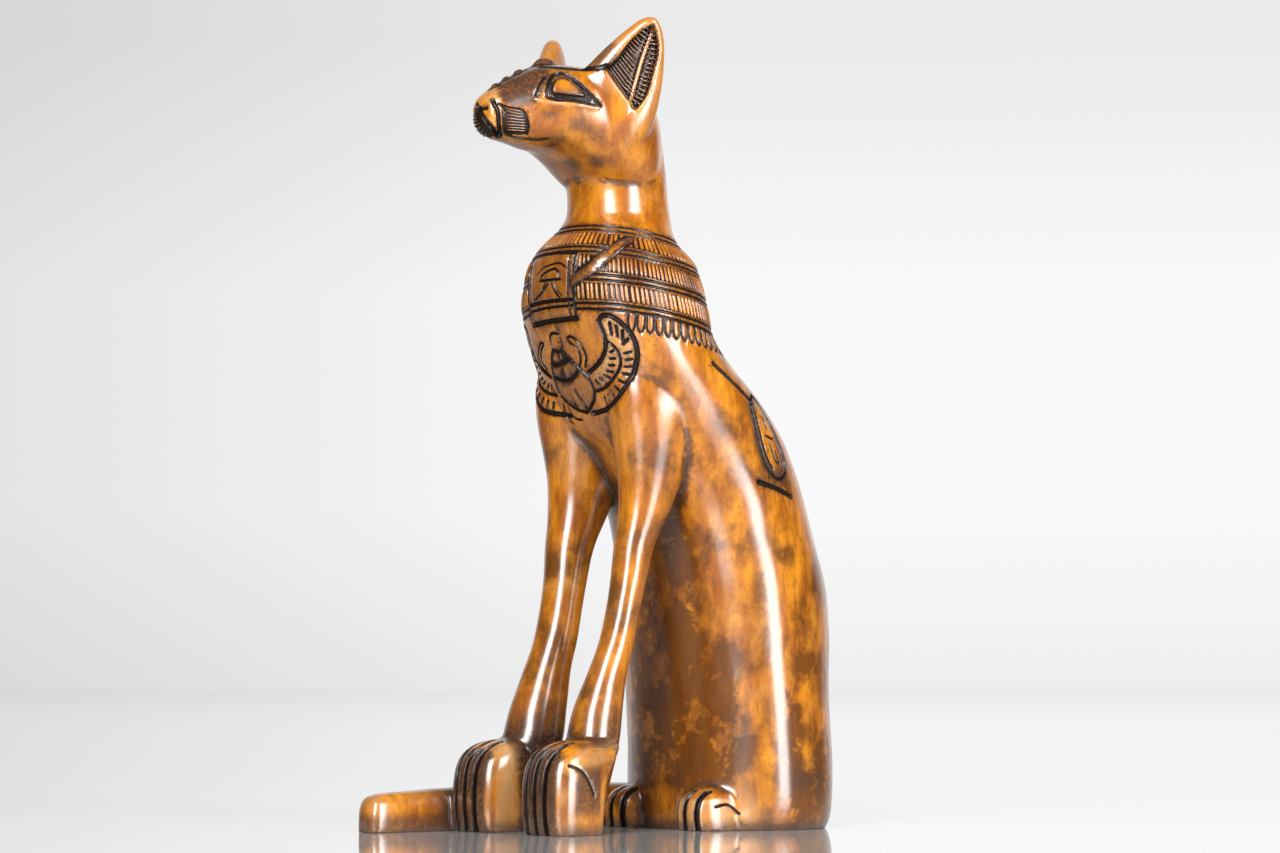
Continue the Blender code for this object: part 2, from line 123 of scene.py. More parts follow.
# %% Tables of cross-sections
# Trunk and neck: height, y of the axis, half width, reach to the front, reach to the back.
TRUNK = (
    (-4, 86.0, 31.0, 23.0, 25.5),
    (0, 86.0, 34.5, 25.0, 28.0),
    (5, 86.0, 36.5, 26.0, 29.4),
    (18, 86.0, 37.0, 25.6, 30.2),
    (40, 84.5, 36.5, 24.6, 30.9),
    (60, 83.4, 36.0, 25.2, 32.8),
    (76, 82.0, 35.5, 25.6, 33.2),
    (90, 78.5, 35.0, 25.2, 31.8),
    (101, 75.8, 34.5, 26.0, 31.2),
    (110, 72.3, 34.0, 29.5, 31.8),
    (118, 68.3, 34.0, 31.4, 32.0),
    (125, 64.3, 34.0, 34.0, 31.4),
    (134, 57.0, 34.0, 31.4, 30.8),
    (143, 48.6, 33.5, 26.8, 28.8),
    (152, 43.9, 33.0, 25.4, 25.3),
    (162, 41.5, 32.4, 26.4, 25.4),
    (171, 40.6, 29.5, 25.8, 25.0),
    (176, 40.4, 26.6, 24.9, 24.1),
    (180.5, 39.8, 23.0, 21.6, 20.6),
    (185, 41.2, 19.0, 18.7, 17.8),
    (190, 42.4, 16.0, 15.8, 16.6),
    (198, 41.8, 15.2, 14.8, 16.3),
    (208, 39.9, 15.6, 14.6, 16.9),
    (218, 38.0, 16.0, 16.0, 16.7),
    (228, 36.5, 13.5, 13.5, 14.0),
    (235, 35.5, 7.0, 7.0, 7.0),
)

# Front leg: height, distance of its axis from the middle plane, y, half width, half depth. The carver left
# the right one a little stouter than the left one.
LEG = (
    (-4, 17.5, 12.0, 7.0, 7.0),
    (10, 17.0, 15.6, 8.2, 8.0),
    (26, 15.5, 20.8, 8.8, 8.8),
    (37, 15.2, 23.2, 7.8, 8.4),
    (48, 15.5, 26.5, 6.3, 7.0),
    (58, 15.8, 30.0, 5.9, 6.3),
    (68, 16.0, 32.5, 6.0, 6.0),
    (78, 16.2, 34.5, 6.2, 6.2),
    (87, 16.5, 36.2, 6.6, 7.0),
    (97, 16.9, 39.4, 7.8, 8.8),
    (108, 17.0, 42.2, 9.4, 11.4),
    (118, 17.0, 44.0, 11.4, 14.6),
    (130, 17.0, 44.6, 13.4, 17.6),
    (142, 16.0, 44.0, 12.4, 17.0),
    (152, 11.0, 43.0, 8.0, 9.0),
)
LEG_STOUTER = {1: -0.6, -1: 0.8}

# Front paw and hind foot: height, y of the front, y of the back, half width.
PAW_MIDDLE = 18.0
PAW = (
    (-4, 0.0, 15.5, 9.2),
    (0, -1.8, 17.8, 10.8),
    (6, -2.8, 18.8, 11.4),
    (15, -2.6, 19.8, 11.4),
    (20.5, -1.6, 22.4, 11.1),
    (24.2, 0.8, 24.8, 10.2),
    (26.8, 5.0, 26.5, 8.2),
    (28.0, 9.5, 27.0, 5.0),
)
HIND_MIDDLE = 18.5
HIND_FOOT = (
    (-4, 56.0, 88.0, 7.8),
    (0, 54.8, 90.0, 8.8),
    (4, 54.2, 90.0, 9.0),
    (8, 54.6, 90.0, 8.8),
    (11, 56.4, 90.0, 7.8),
    (13, 60.5, 90.0, 5.4),
)

# Head: y, height of the axis, reach up, reach down, half width.
HEAD = (
    (-11.2, 218.6, 2.2, 2.4, 2.4),
    (-10.4, 218.6, 5.2, 5.2, 4.6),
    (-8.0, 218.9, 6.8, 7.2, 7.0),
    (-4.0, 219.6, 8.8, 8.6, 8.6),
    (2.0, 220.6, 11.2, 10.3, 10.8),
    (8.0, 221.2, 13.6, 11.9, 13.8),
    (15.0, 220.8, 15.4, 12.4, 17.0),
    (23.0, 219.5, 16.8, 15.4, 19.6),
    (32.0, 217.0, 18.2, 19.6, 21.4),
    (41.0, 214.5, 19.0, 20.5, 20.0),
    (47.5, 212.5, 17.5, 17.0, 15.8),
    (52.5, 211.0, 11.0, 10.0, 9.4),
    (54.4, 210.5, 4.0, 4.0, 3.5),
)

# Left ear: its two base corners and its tip. Then the share of the way up, how far the front edge and the
# outer edge bow out, and half the thickness.
EAR_FRONT = Vector((11.5, 20.0, 233.0))
EAR_OUTER = Vector((21.8, 37.5, 217.0))
EAR_TIP = Vector((26.2, 37.0, 250.0))
EAR = (
    (-0.45, -8.0, -7.0, 5.0),
    (-0.20, -2.5, -2.0, 6.0),
    (0.00, 0.3, 1.6, 5.6),
    (0.20, 1.3, 3.2, 5.0),
    (0.45, 2.2, 4.4, 4.2),
    (0.70, 2.6, 4.6, 3.6),
    (0.88, 2.4, 3.8, 2.9),
    (0.97, 1.2, 2.0, 2.0),
    (1.00, 0.2, 0.4, 1.0),
)

# Tail: x, y of its middle line on the ground, half width, height.
TAIL = (
    (4.0, 109.0, 6.5, 13.0),
    (-14.0, 111.0, 6.5, 13.0),
    (-29.0, 106.0, 6.5, 13.0),
    (-38.0, 94.5, 6.4, 13.0),
    (-40.0, 79.0, 6.3, 13.2),
    (-37.8, 58.0, 6.2, 13.4),
    (-35.0, 36.0, 6.1, 13.5),
    (-33.0, 14.0, 6.0, 13.5),
    (-31.4, -8.0, 5.8, 12.7),
    (-30.8, -26.0, 5.5, 11.6),
    (-30.6, -30.0, 4.4, 9.8),
    (-30.6, -31.4, 2.4, 6.8),
)
print("stations in the tables:", sum(map(len, (TRUNK, LEG, PAW, HIND_FOOT, HEAD, EAR, TAIL))))

# %% [markdown]
# ## From a table to a form
#
# Straight walls between two stations would show as facets, so a smooth curve is run through the rows
# first. Each station then becomes a ring. A superellipse is the handy shape for a ring on carved work: with
# a power of 2 it is an ellipse, and a higher power fills its corners out, as on a block that has been
# rounded by hand.

# %% A smooth curve through rows of numbers
CURVE_WEIGHTS = np.array(((0, 2, 0, 0), (-1, 0, 1, 0), (2, -5, 4, -1), (-1, 3, -3, 1))) / 2
STATION_STEP = 2.5


def smooth_rows(table, step, measured=2):
    """Rows on a smooth curve through the table's rows, about one step apart in the measured columns."""
    rows = np.array(table, float)
    padded = np.vstack([2 * rows[0] - rows[1], rows, 2 * rows[-1] - rows[-2]])
    out = []
    for i in range(len(rows) - 1):
        length = np.linalg.norm((rows[i + 1] - rows[i])[:measured])
        parts = max(1, int(round(length / step)))
        for k in range(parts):
            powers = (k / parts) ** np.arange(4)
            out.append(powers @ CURVE_WEIGHTS @ padded[i : i + 4])
    out.append(rows[-1])
    return np.array(out)


print("rows of the trunk:", len(smooth_rows(TRUNK, STATION_STEP)))

# %% Rings and lofts
RING_POINTS = 48
RING_ANGLES = np.arange(RING_POINTS) * (2 * math.pi / RING_POINTS)


def rounded(power):
    """Cosine and sine all round a superellipse."""
    c, s = np.cos(RING_ANGLES), np.sin(RING_ANGLES)
    return np.sign(c) * abs(c) ** (2 / power), np.sign(s) * abs(s) ** (2 / power)


def loft(block, rings):
    """Adds a closed form through rings of points to a block, with a flat cap at each end."""
    loops = [[block.verts.new(point) for point in ring] for ring in rings]
    faces = [block.faces.new(loops[0]), block.faces.new(loops[-1])]
    for low, high in zip(loops, loops[1:]):
        for k in range(RING_POINTS):
            after = (k + 1) % RING_POINTS
            faces.append(block.faces.new((low[k], low[after], high[after], high[k])))
    bmesh.ops.recalc_face_normals(block, faces=faces)


# %% Trunk, head and tail
def trunk_rings():
    c, s = rounded(2.15)
    for z, y, half, front, back in smooth_rows(TRUNK, STATION_STEP):
        yield np.stack([half * c, y + np.where(s > 0, back, front) * s, z + 0 * c], 1)


def head_rings():
    c, s = rounded(2.25)
    for y, z, reach_up, down, half in smooth_rows(HEAD, STATION_STEP):
        yield np.stack([half * c, y + 0 * c, z + np.where(s > 0, reach_up, down) * s], 1)


def tail_rings():
    c, s = rounded(3.0)
    rows = smooth_rows(TAIL, STATION_STEP)
    ways = np.gradient(rows[:, :2], axis=0)
    ways /= np.linalg.norm(ways, axis=1)[:, None]
    sink = -4.0
    for (x, y, half, top), (way_x, way_y) in zip(rows, ways):
        rise = (top + sink) / 2 + (top - sink) / 2 * s
        yield np.stack([x - way_y * half * c, y + way_x * half * c, rise], 1)


# %% Legs, feet and ears
def leg_rings(side):
    c, s = rounded(2.0)
    for z, x, y, half, deep in smooth_rows(LEG, STATION_STEP):
        half += LEG_STOUTER[side]
        deep += LEG_STOUTER[side]
        yield np.stack([side * x + half * c, y + deep * s, z + 0 * c], 1)


def foot_rings(side, middle, table, power):
    c, s = rounded(power)
    for z, front, back, half in smooth_rows(table, 1.5):
        yield np.stack([side * middle + half * c, (front + back) / 2 + (back - front) / 2 * s, z + 0 * c], 1)


def ear_rings(side):
    c, s = rounded(2.4)
    across = (EAR_OUTER - EAR_FRONT).normalized()
    rise = (EAR_TIP - (EAR_FRONT + EAR_OUTER) / 2).normalized()
    facing = np.array(across.cross(rise).normalized())
    for share, front_bow, outer_bow, thick in smooth_rows(EAR, 0.04):
        low = np.array(EAR_FRONT.lerp(EAR_TIP, share) - across * front_bow)
        high = np.array(EAR_OUTER.lerp(EAR_TIP, share) + across * outer_bow)
        ring = (low + high) / 2 + np.outer(c, (high - low) / 2) + np.outer(s, facing * thick)
        yield ring * (side, 1, 1)


# %% All the forms in one block
block = bmesh.new()
loft(block, list(trunk_rings()))
loft(block, list(head_rings()))
loft(block, list(tail_rings()))
for side in (-1, 1):
    loft(block, list(leg_rings(side)))
    loft(block, list(foot_rings(side, PAW_MIDDLE, PAW, 3.2)))
    loft(block, list(foot_rings(side, HIND_MIDDLE, HIND_FOOT, 3.0)))
    loft(block, list(ear_rings(side)))
forms = bpy.data.meshes.new("forms")
block.to_mesh(forms)
block.free()
print("faces in the crossing forms:", len(forms.polygons))

# %% [markdown]
# ## One skin
#
# The lofts still run through each other. A Boolean union would join them with hard creases, but the carver
# left none: leg flows into shoulder and cheek into neck. A voxel remesh wraps all of them in one skin of
# small even squares, and a few rounds of smoothing soften the joins. Even squares are also what a carved
# surface needs, because the gouge's cuts come next and each is only about a millimetre wide.

# %% Voxel skin, softened
VOXEL = 0.7
SOFTEN_STEPS = round(9 * (0.95 / VOXEL) ** 2)


def with_modifiers(mesh, name, add):
    """A copy of a mesh with modifiers applied, which add puts on a passing object."""
    passing = bpy.data.objects.new(name, mesh)
    bpy.context.scene.collection.objects.link(passing)
    add(passing.modifiers)
    graph = bpy.context.evaluated_depsgraph_get()
    result = bpy.data.meshes.new_from_object(passing.evaluated_get(graph), depsgraph=graph)
    bpy.data.objects.remove(passing)
    return result


def one_skin(modifiers):
    skin = modifiers.new("one skin", "REMESH")
    skin.mode = "VOXEL"
    skin.voxel_size = VOXEL
    soften = modifiers.new("soften joins", "SMOOTH")
    soften.iterations = SOFTEN_STEPS
    soften.factor = 0.5


skin = with_modifiers(forms, "fusing", one_skin)


def read(mesh, kind, name, width=3):
    """Numbers of a mesh's vertices as an array."""
    values = np.empty(len(mesh.vertices) * width, np.float32)
    getattr(mesh, kind).foreach_get(name, values)
    return values.reshape(-1, width).astype(float)


smooth_points = read(skin, "vertices", "co")
smooth_skin = BVHTree.FromPolygons(smooth_points.tolist(), [tuple(face.vertices) for face in skin.polygons])
print("squares in the skin:", len(skin.polygons))

# %% [markdown]
# ## Drawing on the skin
#
# A carver draws the ornament on the stone before cutting it. The lines here are drawn flat as well, with a
# few points each: as seen from the front for the chest, and from the side for the head and flank. A ray
# through each point of the smooth curve finds the stone under it. Every line is kept as points on the skin,
# because a distance measured from them gives a cut of the same width wherever the surface turns.

# %% Lines laid on the skin
LINE_STEP = 0.7
cuts = []


def onto_skin(flat, view):
    """Points on the skin under flat ones: x and z seen from the front, or y and z from one side."""
    found = []
    for u, v in flat:
        if view == "front":
            start, way = Vector((u, -60, v)), Vector((0, 1, 0))
        else:
            side = 1 if view == "left" else -1
            start, way = Vector((side * 60, u, v)), Vector((-side, 0, 0))
        hit = smooth_skin.ray_cast(start, way)[0]
        if hit:
            found.append(hit)
    return np.array(found)


def mirrored(flat):
    return [(-u, v) for u, v in flat]


def draw(flat, view, width=1.1, deep=0.6, dark=1.0, closed=False):
    """Adds one gouge line to the list of cuts: its points on the skin, its width, depth and darkness."""
    points = list(flat)
    if closed:
        points.append(flat[0])
    line = onto_skin(smooth_rows(points, LINE_STEP), view)
    if len(line) > 1:
        cuts.append((line, width, deep, dark))


def draw_both(flat, view, **cut):
    """The same line on both sides of the cat."""
    draw(flat, view, **cut)
    if view == "front":
        draw(mirrored(flat), view, **cut)
    else:
        draw(flat, "right", **cut)


def draw_near(points, sides, width=1.1, deep=0.6, dark=1.0):
    """A line through points in space, each moved to the nearest stone, on the sides that are named."""
    for side in sides:
        along = smooth_rows(points, LINE_STEP, 3) * (side, 1, 1)
        found = [smooth_skin.find_nearest(Vector(point))[0] for point in along]
        cuts.append((np.array(found), width, deep, dark))


# %% [markdown]
# ## The collar
#
# A broad collar of beads hangs round the neck, drawn with four double lines that run right round and sink
# towards the back. Its outlines could follow heights alone, but the collar tips backwards, so each line is
# where a tipped plane meets the stone. Rays shot inwards in that plane find it. Each line is one narrow deep
# cut in a wide shallow one, as a gouge leaves it when its edges are rubbed down.

# %% Collar lines round the neck
COLLAR = (189.6, 181.3, 172.1, 163.1)
COLLAR_DROP = 0.16
NECK_Y = 41.0
DOUBLE_LINE = 0.85
# Width, depth and darkness of the narrow cut and of the wide one.
COLLAR_CUTS = ((0.9, 0.6, 1.0), (2.4, 0.15, 0.5))


def round_neck(level, step=1.5):
    """Points on the skin all round the neck, where z + COLLAR_DROP * y is level, a step of degrees apart."""
    found = []
    for angle in np.radians(np.arange(-180, 180 + step / 2, step)):
        way = Vector((math.sin(angle), -math.cos(angle), COLLAR_DROP * math.cos(angle)))
        middle = Vector((0, NECK_Y, level - COLLAR_DROP * NECK_Y))
        hit = smooth_skin.ray_cast(middle + way * 80, -way)[0]
        if hit:
            found.append(hit)
    return np.array(found)


PENDANT_EDGE = 11.3
for number, level in enumerate(COLLAR):
    for offset in (-DOUBLE_LINE, DOUBLE_LINE):
        ring = round_neck(level + offset)
        if number > 1:
            # The pendant covers the front of the two lowest lines.
            ring = np.roll(ring[:-1], len(ring) // 2, axis=0)
            beside = (np.abs(ring[:, 0]) > PENDANT_EDGE) | (ring[:, 1] > NECK_Y)
            ring = ring[beside]
        for cut in COLLAR_CUTS:
            cuts.append((ring, *cut))
print("cuts after the collar:", len(cuts))

# %% Drop beads under the collar
# Below the lowest line hang the drop beads, cut as one row of U shapes.
DROP_WIDTH = 2.9
DROP_LENGTH = 5.4
DROP_START_X = 26.5
DROP_CUT = (0.8, 0.4, 0.85)
U_SHAPE = ((0.10, 0.0), (0.10, 0.55), (0.24, 0.86), (0.5, 1.0), (0.76, 0.86), (0.90, 0.55), (0.90, 0.0))
around = round_neck(COLLAR[-1] - 1.2)
lower = round_neck(COLLAR[-1] - 1.2 - DROP_LENGTH)
lengths = np.concatenate([[0], np.cumsum(np.linalg.norm(np.diff(around, axis=0), axis=1))])
drops = int(lengths[-1] / DROP_WIDTH)


def point_at(line, place):
    """The point of a line round the neck at a length along the collar's edge."""
    return np.array([np.interp(place, lengths, line[:, k]) for k in range(3)])


for number in range(drops):
    start = lengths[-1] * number / drops
    middle = point_at(around, start + DROP_WIDTH / 2)
    if abs(middle[0]) < DROP_START_X and middle[1] < NECK_Y:
        continue
    shape = []
    for across, down in smooth_rows(U_SHAPE, 0.12):
        place = start + across * DROP_WIDTH
        point = point_at(around, place) * (1 - down) + point_at(lower, place) * down
        shape.append(smooth_skin.find_nearest(Vector(point))[0])
    cuts.append((np.array(shape), *DROP_CUT))
print("drop beads:", drops)

# %% [markdown]
# ## Pendant, strap, scarab and wings
#
# The pendant is a framed plate with a small figure: a half disc on two legs under an arch. A leaf-shaped
# strap runs from it up to the collar's top. Under it sits the scarab with its front legs raised, between two
# wings that sweep down and round. All of it is gouge work: outlines about a millimetre wide, and wedge
# cuts for the feathers. The points follow the photograph on the side that shows, and the hidden wing
# mirrors the one that is seen.

# %% Pendant
draw_both(((9.3, 176.6), (9.6, 166.4), (9.1, 156.9)), "front", width=0.8)
draw_both(((11.2, 176.4), (11.5, 166.4), (11.2, 156.5)), "front", width=1.1, deep=0.7)
draw(((-11.3, 176.9), (0.0, 177.6), (11.3, 176.9)), "front")
draw(((-11.2, 162.2), (0.0, 162.6), (11.2, 162.4)), "front", width=1.3, deep=0.8)
draw(((-11.2, 160.3), (0.0, 160.7), (11.2, 160.6)), "front", width=0.9)
draw(((-11.2, 156.3), (0.0, 156.6), (11.3, 156.7)), "front", width=1.7, deep=0.9)
draw(((-3.5, 169.3), (-2.9, 170.6), (-0.5, 171.7), (3.4, 172.5), (5.4, 171.4), (6.1, 169.2)), "front",
     width=0.8)
draw(((-3.7, 169.3), (6.2, 169.1)), "front", width=0.9)
draw(((-5.4, 171.2), (-3.0, 172.9), (0.7, 173.8), (5.6, 174.1), (8.2, 172.6)), "front", width=0.7, dark=0.8)
draw(((2.0, 168.5), (3.6, 166.0), (5.8, 163.5)), "front", width=0.9)
draw(((0.4, 167.9), (-2.6, 165.6), (-6.9, 163.5)), "front", width=0.9)
draw(((-0.7, 168.3), (-2.3, 166.6)), "front", width=0.8)
draw(((3.8, 167.9), (4.6, 166.2), (6.9, 164.0)), "front", width=0.7, dark=0.7)
print("cuts after the pendant:", len(cuts))

# %% Scarab
SCARAB_RIGHT = ((1.1, 148.2), (4.0, 144.9), (6.9, 141.5), (9.0, 138.9), (9.6, 135.4), (8.2, 132.3),
                (5.6, 130.2), (3.0, 128.6))
SCARAB_LEFT = ((-3.6, 148.2), (-6.3, 144.6), (-7.9, 140.1), (-7.9, 135.6), (-5.0, 132.2), (-0.8, 129.8),
               (3.0, 128.6))
SCARAB_HEAD = ((-0.8, 153.2), (1.2, 152.6), (1.8, 150.5), (1.2, 148.3), (-0.8, 147.5), (-2.8, 148.3),
               (-3.6, 150.5), (-2.8, 152.6))
draw(SCARAB_RIGHT, "front", width=1.0)
draw(SCARAB_LEFT, "front", width=1.0)
draw(SCARAB_HEAD, "front", width=0.9, closed=True)
draw(((-3.6, 148.2), (-1.2, 147.3), (1.1, 148.2)), "front", width=0.9)
draw(((-6.2, 144.0), (-1.5, 143.9), (3.4, 145.2)), "front", width=1.4, deep=0.8)
draw(((-7.4, 140.3), (-2.8, 138.9), (1.8, 139.1), (5.0, 140.8)), "front", width=1.2, deep=0.8)
draw(((1.5, 135.4), (2.2, 133.2), (3.4, 130.6)), "front", width=0.9, deep=0.7)
draw(((4.8, 151.0), (6.4, 151.6), (8.6, 150.4), (10.4, 147.8), (10.6, 145.0), (9.0, 141.9)), "front",
     width=0.9)
draw(((4.8, 150.4), (7.2, 148.7), (8.5, 146.6), (8.2, 144.4), (7.0, 142.6)), "front", width=0.9)
draw(((-8.0, 150.6), (-9.6, 150.8), (-11.8, 149.5), (-13.9, 147.4), (-14.4, 145.2), (-13.2, 143.2),
     (-10.6, 141.6)), "front", width=0.9)
draw(((-8.2, 150.0), (-10.6, 148.6), (-12.2, 146.6), (-12.2, 144.8), (-10.4, 142.8)), "front", width=0.9)
draw(((-7.6, 131.7), (-8.6, 129.8), (-8.4, 127.6), (-6.6, 126.0)), "front", width=0.8)
draw(((-5.4, 131.0), (-5.2, 129.0), (-3.4, 127.2), (-0.8, 126.8)), "front", width=0.8)
print("cuts after the scarab:", len(cuts))

# %% Wings
WING_OUTER = ((18.3, 155.3), (19.8, 156.9), (21.9, 156.9), (23.9, 155.2), (25.5, 152.6), (26.4, 149.4),
              (26.2, 145.4), (24.7, 141.5), (22.9, 137.4), (20.6, 133.7), (17.4, 130.9), (13.6, 129.6),
              (9.4, 128.8), (5.6, 128.3))
WING_INNER = ((18.3, 155.3), (18.8, 152.7), (18.9, 150.0), (18.2, 147.3), (16.9, 145.2), (15.0, 143.4),
              (12.4, 141.7), (9.6, 140.4))
WING_MIDDLE = ((18.9, 149.4), (20.6, 148.2), (21.6, 145.9), (21.4, 142.9), (19.8, 140.3), (17.2, 137.6),
               (13.6, 135.6), (10.0, 134.8))
LONG_FEATHERS = (((21.4, 154.8), (21.1, 151.4)), ((22.9, 153.8), (22.6, 150.8)),
                 ((24.2, 152.3), (23.7, 149.6)), ((25.0, 149.8), (23.5, 148.4)))
SHORT_FEATHERS = (((24.9, 146.0), (23.1, 145.6)), ((24.6, 143.8), (22.9, 143.6)),
                  ((23.9, 141.6), (22.0, 141.6)), ((22.8, 139.2), (21.0, 139.6)),
                  ((21.6, 136.8), (19.8, 137.6)), ((19.8, 134.6), (18.2, 135.8)),
                  ((17.6, 132.8), (16.4, 134.4)), ((15.2, 131.6), (14.4, 133.4)),
                  ((12.8, 130.8), (12.4, 132.8)), ((20.4, 146.6), (19.2, 146.0)),
                  ((20.1, 144.2), (18.6, 144.2)), ((19.2, 142.2), (17.6, 142.2)),
                  ((18.2, 140.2), (16.4, 140.6)), ((16.6, 138.6), (15.0, 139.4)),
                  ((14.4, 137.2), (13.2, 138.6)), ((12.2, 136.4), (11.4, 138.0)))
draw_both(WING_OUTER, "front", width=1.6, deep=0.8)
draw_both(WING_INNER, "front", width=1.5, deep=0.8)
draw_both(WING_MIDDLE, "front", width=1.1)
for feather in LONG_FEATHERS:
    draw_both(feather, "front", width=1.1, deep=0.7)
for feather in SHORT_FEATHERS:
    draw_both(feather, "front", width=0.9, deep=0.6)
print("cuts after the wings:", len(cuts))

# %% [markdown]
# ## Eyes, nose and mouth
#
# Each eye is a long almond with a double lid, cut as the Egyptian eye is: two lines above, two below, meeting
# in a point behind. The eyeball stays proud in a dark hollow. The brow, the line before the eye and the
# mouth are single cuts. They are drawn from the side, so the same points serve both sides of the head. The
# stone turns too sharply for that round the nose, so its lines are points in space, moved to the stone.

# %% Head lines
UPPER_LID = ((5.6, 223.9), (6.6, 228.0), (9.2, 231.3), (12.0, 232.2), (14.4, 231.0), (17.0, 227.4),
             (19.0, 224.6), (21.2, 221.7))
LOWER_LID = ((5.6, 223.7), (8.5, 222.8), (11.3, 223.0), (15.3, 222.5), (18.4, 221.9), (21.2, 221.7))
EYEBALL = ((7.2, 225.0), (7.8, 227.6), (9.5, 229.6), (11.9, 230.2), (14.0, 228.7), (15.6, 226.4),
           (17.2, 224.4), (14.4, 224.3), (10.6, 224.6))
LID_RIDGE = ((3.0, 222.8), (6.0, 222.2), (10.0, 221.9), (15.0, 221.5), (20.5, 220.9))
MOUTH = ((-5.4, 212.4), (-1.0, 211.6), (1.7, 211.4), (5.6, 211.2), (8.4, 211.5))
draw_both(UPPER_LID, "left", width=1.0, deep=0.7)
draw_both(LOWER_LID, "left", width=0.9, deep=0.7)
draw_both(EYEBALL, "left", width=0.8, deep=0.9, closed=True)
draw_both(((8.2, 224.4), (11.0, 223.9), (14.4, 223.7), (17.6, 223.6)), "left", width=1.6, deep=0.8)
draw_both(((7.1, 230.9), (4.4, 227.8), (2.6, 224.4)), "left", width=0.8, deep=0.5)
draw_both(((8.6, 234.3), (14.3, 233.9), (21.2, 233.7), (23.4, 234.4)), "left", width=1.7, deep=0.5, dark=0.9)
draw_both(MOUTH, "left", width=1.1, deep=0.7)
NOSE_WING = ((4.5, -9.3, 222.3), (6.2, -8.5, 218.9), (5.8, -7.7, 214.9), (3.1, -5.2, 212.2))
PAD_REAR = ((6.3, -8.1, 221.0), (8.0, -5.3, 219.8), (9.5, -1.3, 219.2), (9.2, 0.9, 215.3), (7.2, 1.9, 212.4))
GROOVE = ((-1.2, -10.6, 221.2), (2.0, -11.0, 217.5), (3.9, -8.8, 213.8), (2.1, -5.0, 211.5))
draw_near(NOSE_WING, (1,), width=1.4, deep=0.9)
draw_near(PAD_REAR, (1, -1), width=0.9, deep=0.5, dark=0.9)
draw_near(GROOVE, (1,), width=1.7, deep=1.3)
print("cuts after the head:", len(cuts))

# %% [markdown]
# ## Toes, back panel and creases
#
# Four toes are sawn into the front of each foot. On the left of the back a tall rounded tablet is cut,
# with a bar under it and a long groove that leads up from its top. The strokes inside it are plain
# marks that spell nothing.

# %% Toes
TOE_PITCH = 4.7
TOE_CUT = (1.9, 1.6, 1.0)
# Middle of the foot, where the cuts start and end along it, and how high its toes are.
TOED_FEET = ((PAW_MIDDLE, -8.0, 8.0, 25.0), (HIND_MIDDLE, 45.0, 61.0, 12.4))
for side in (-1, 1):
    for middle, front, back, top in TOED_FEET:
        for number in (-1, 0, 1):
            x = side * middle + number * TOE_PITCH
            low = [smooth_skin.ray_cast(Vector((x, front - 6, z)), Vector((0, 1, 0)))[0]
                   for z in np.arange(0.0, top - 1.5, 0.8)]
            high = [smooth_skin.ray_cast(Vector((x, y, top + 8)), Vector((0, 0, -1)))[0]
                    for y in np.arange(low[-1].y + 0.6, back, 0.8)]
            cuts.append((np.array([point for point in low + high if point]), *TOE_CUT))
draw(((2.6, 20.7), (5.8, 19.5), (8.6, 16.6), (11.0, 11.7)), "left", width=0.9, deep=0.5, dark=0.9)
draw(((60.5, 7.3), (64.8, 7.9), (68.3, 5.1)), "left", width=0.9, deep=0.5, dark=0.9)
print("cuts after the toes:", len(cuts))

# %% Back panel
TABLET = ((72.0, 134.6), (69.6, 131.0), (71.0, 123.4), (73.2, 115.8), (76.6, 110.4), (80.6, 108.6),
          (84.0, 111.4), (83.4, 117.8), (79.0, 126.0), (75.4, 131.8))
draw(TABLET, "left", width=1.1, closed=True)
draw(((71.2, 131.2), (72.6, 123.6), (74.8, 116.2), (77.8, 111.6)), "left", width=0.8)
draw(((71.4, 107.4), (78.0, 105.8), (86.2, 103.4)), "left", width=1.7, deep=0.8)
draw(((54.4, 143.4), (60.4, 139.4), (67.6, 134.4), (70.4, 132.2)), "left", width=1.6, deep=0.7, dark=0.9)
draw(((75.0, 128.0), (76.4, 124.6)), "left", width=0.9, dark=0.8)
draw(((75.6, 122.0), (79.4, 121.0)), "left", width=0.9, dark=0.8)
draw(((77.4, 119.4), (79.2, 114.6), (80.6, 113.4)), "left", width=0.9, dark=0.8)
draw(((79.8, 117.4), (81.4, 113.0)), "left", width=0.8, dark=0.8)
print("cuts in all:", len(cuts))

# %% [markdown]
# ## Cutting the stone
#
# Squares of 0.7 mm are too coarse for a cut of one millimetre, and finer ones everywhere would be wasted on
# plain stone. So only the squares near a line are split, twice. Every vertex then gets the distance to the
# nearest line, sinks along its normal, and notes how dark the patina lies there.

# %% Distance from the drawn lines
def smoothstep(low, high, value):
    t = np.clip((value - low) / (high - low), 0, 1)
    return t * t * (3 - 2 * t)


def distance_to(line, points):
    """Distance from each point to a line of points."""
    away = np.full(len(points), 1e9)
    for a, b in zip(line, line[1:]):
        way = b - a
        if way @ way > 9.0:
            continue
        along = np.clip((points - a) @ way / max(way @ way, 1e-9), 0, 1)
        away = np.minimum(away, np.linalg.norm(points - a - along[:, None] * way, axis=1))
    return away


def near_line(line, points, reach):
    inside = ((points > line.min(0) - reach) & (points < line.max(0) + reach)).all(1)
    return np.flatnonzero(inside)


def close_to_cuts(points, reach):
    """Whether each point is within reach of a cut's edge. A wide shallow band needs no finer squares."""
    close = np.zeros(len(points), bool)
    for line, width, _, _ in cuts:
        if width > 2:
            continue
        near = near_line(line, points, reach + width)
        close[near] |= distance_to(line, points[near]) < reach + width / 2
    return close


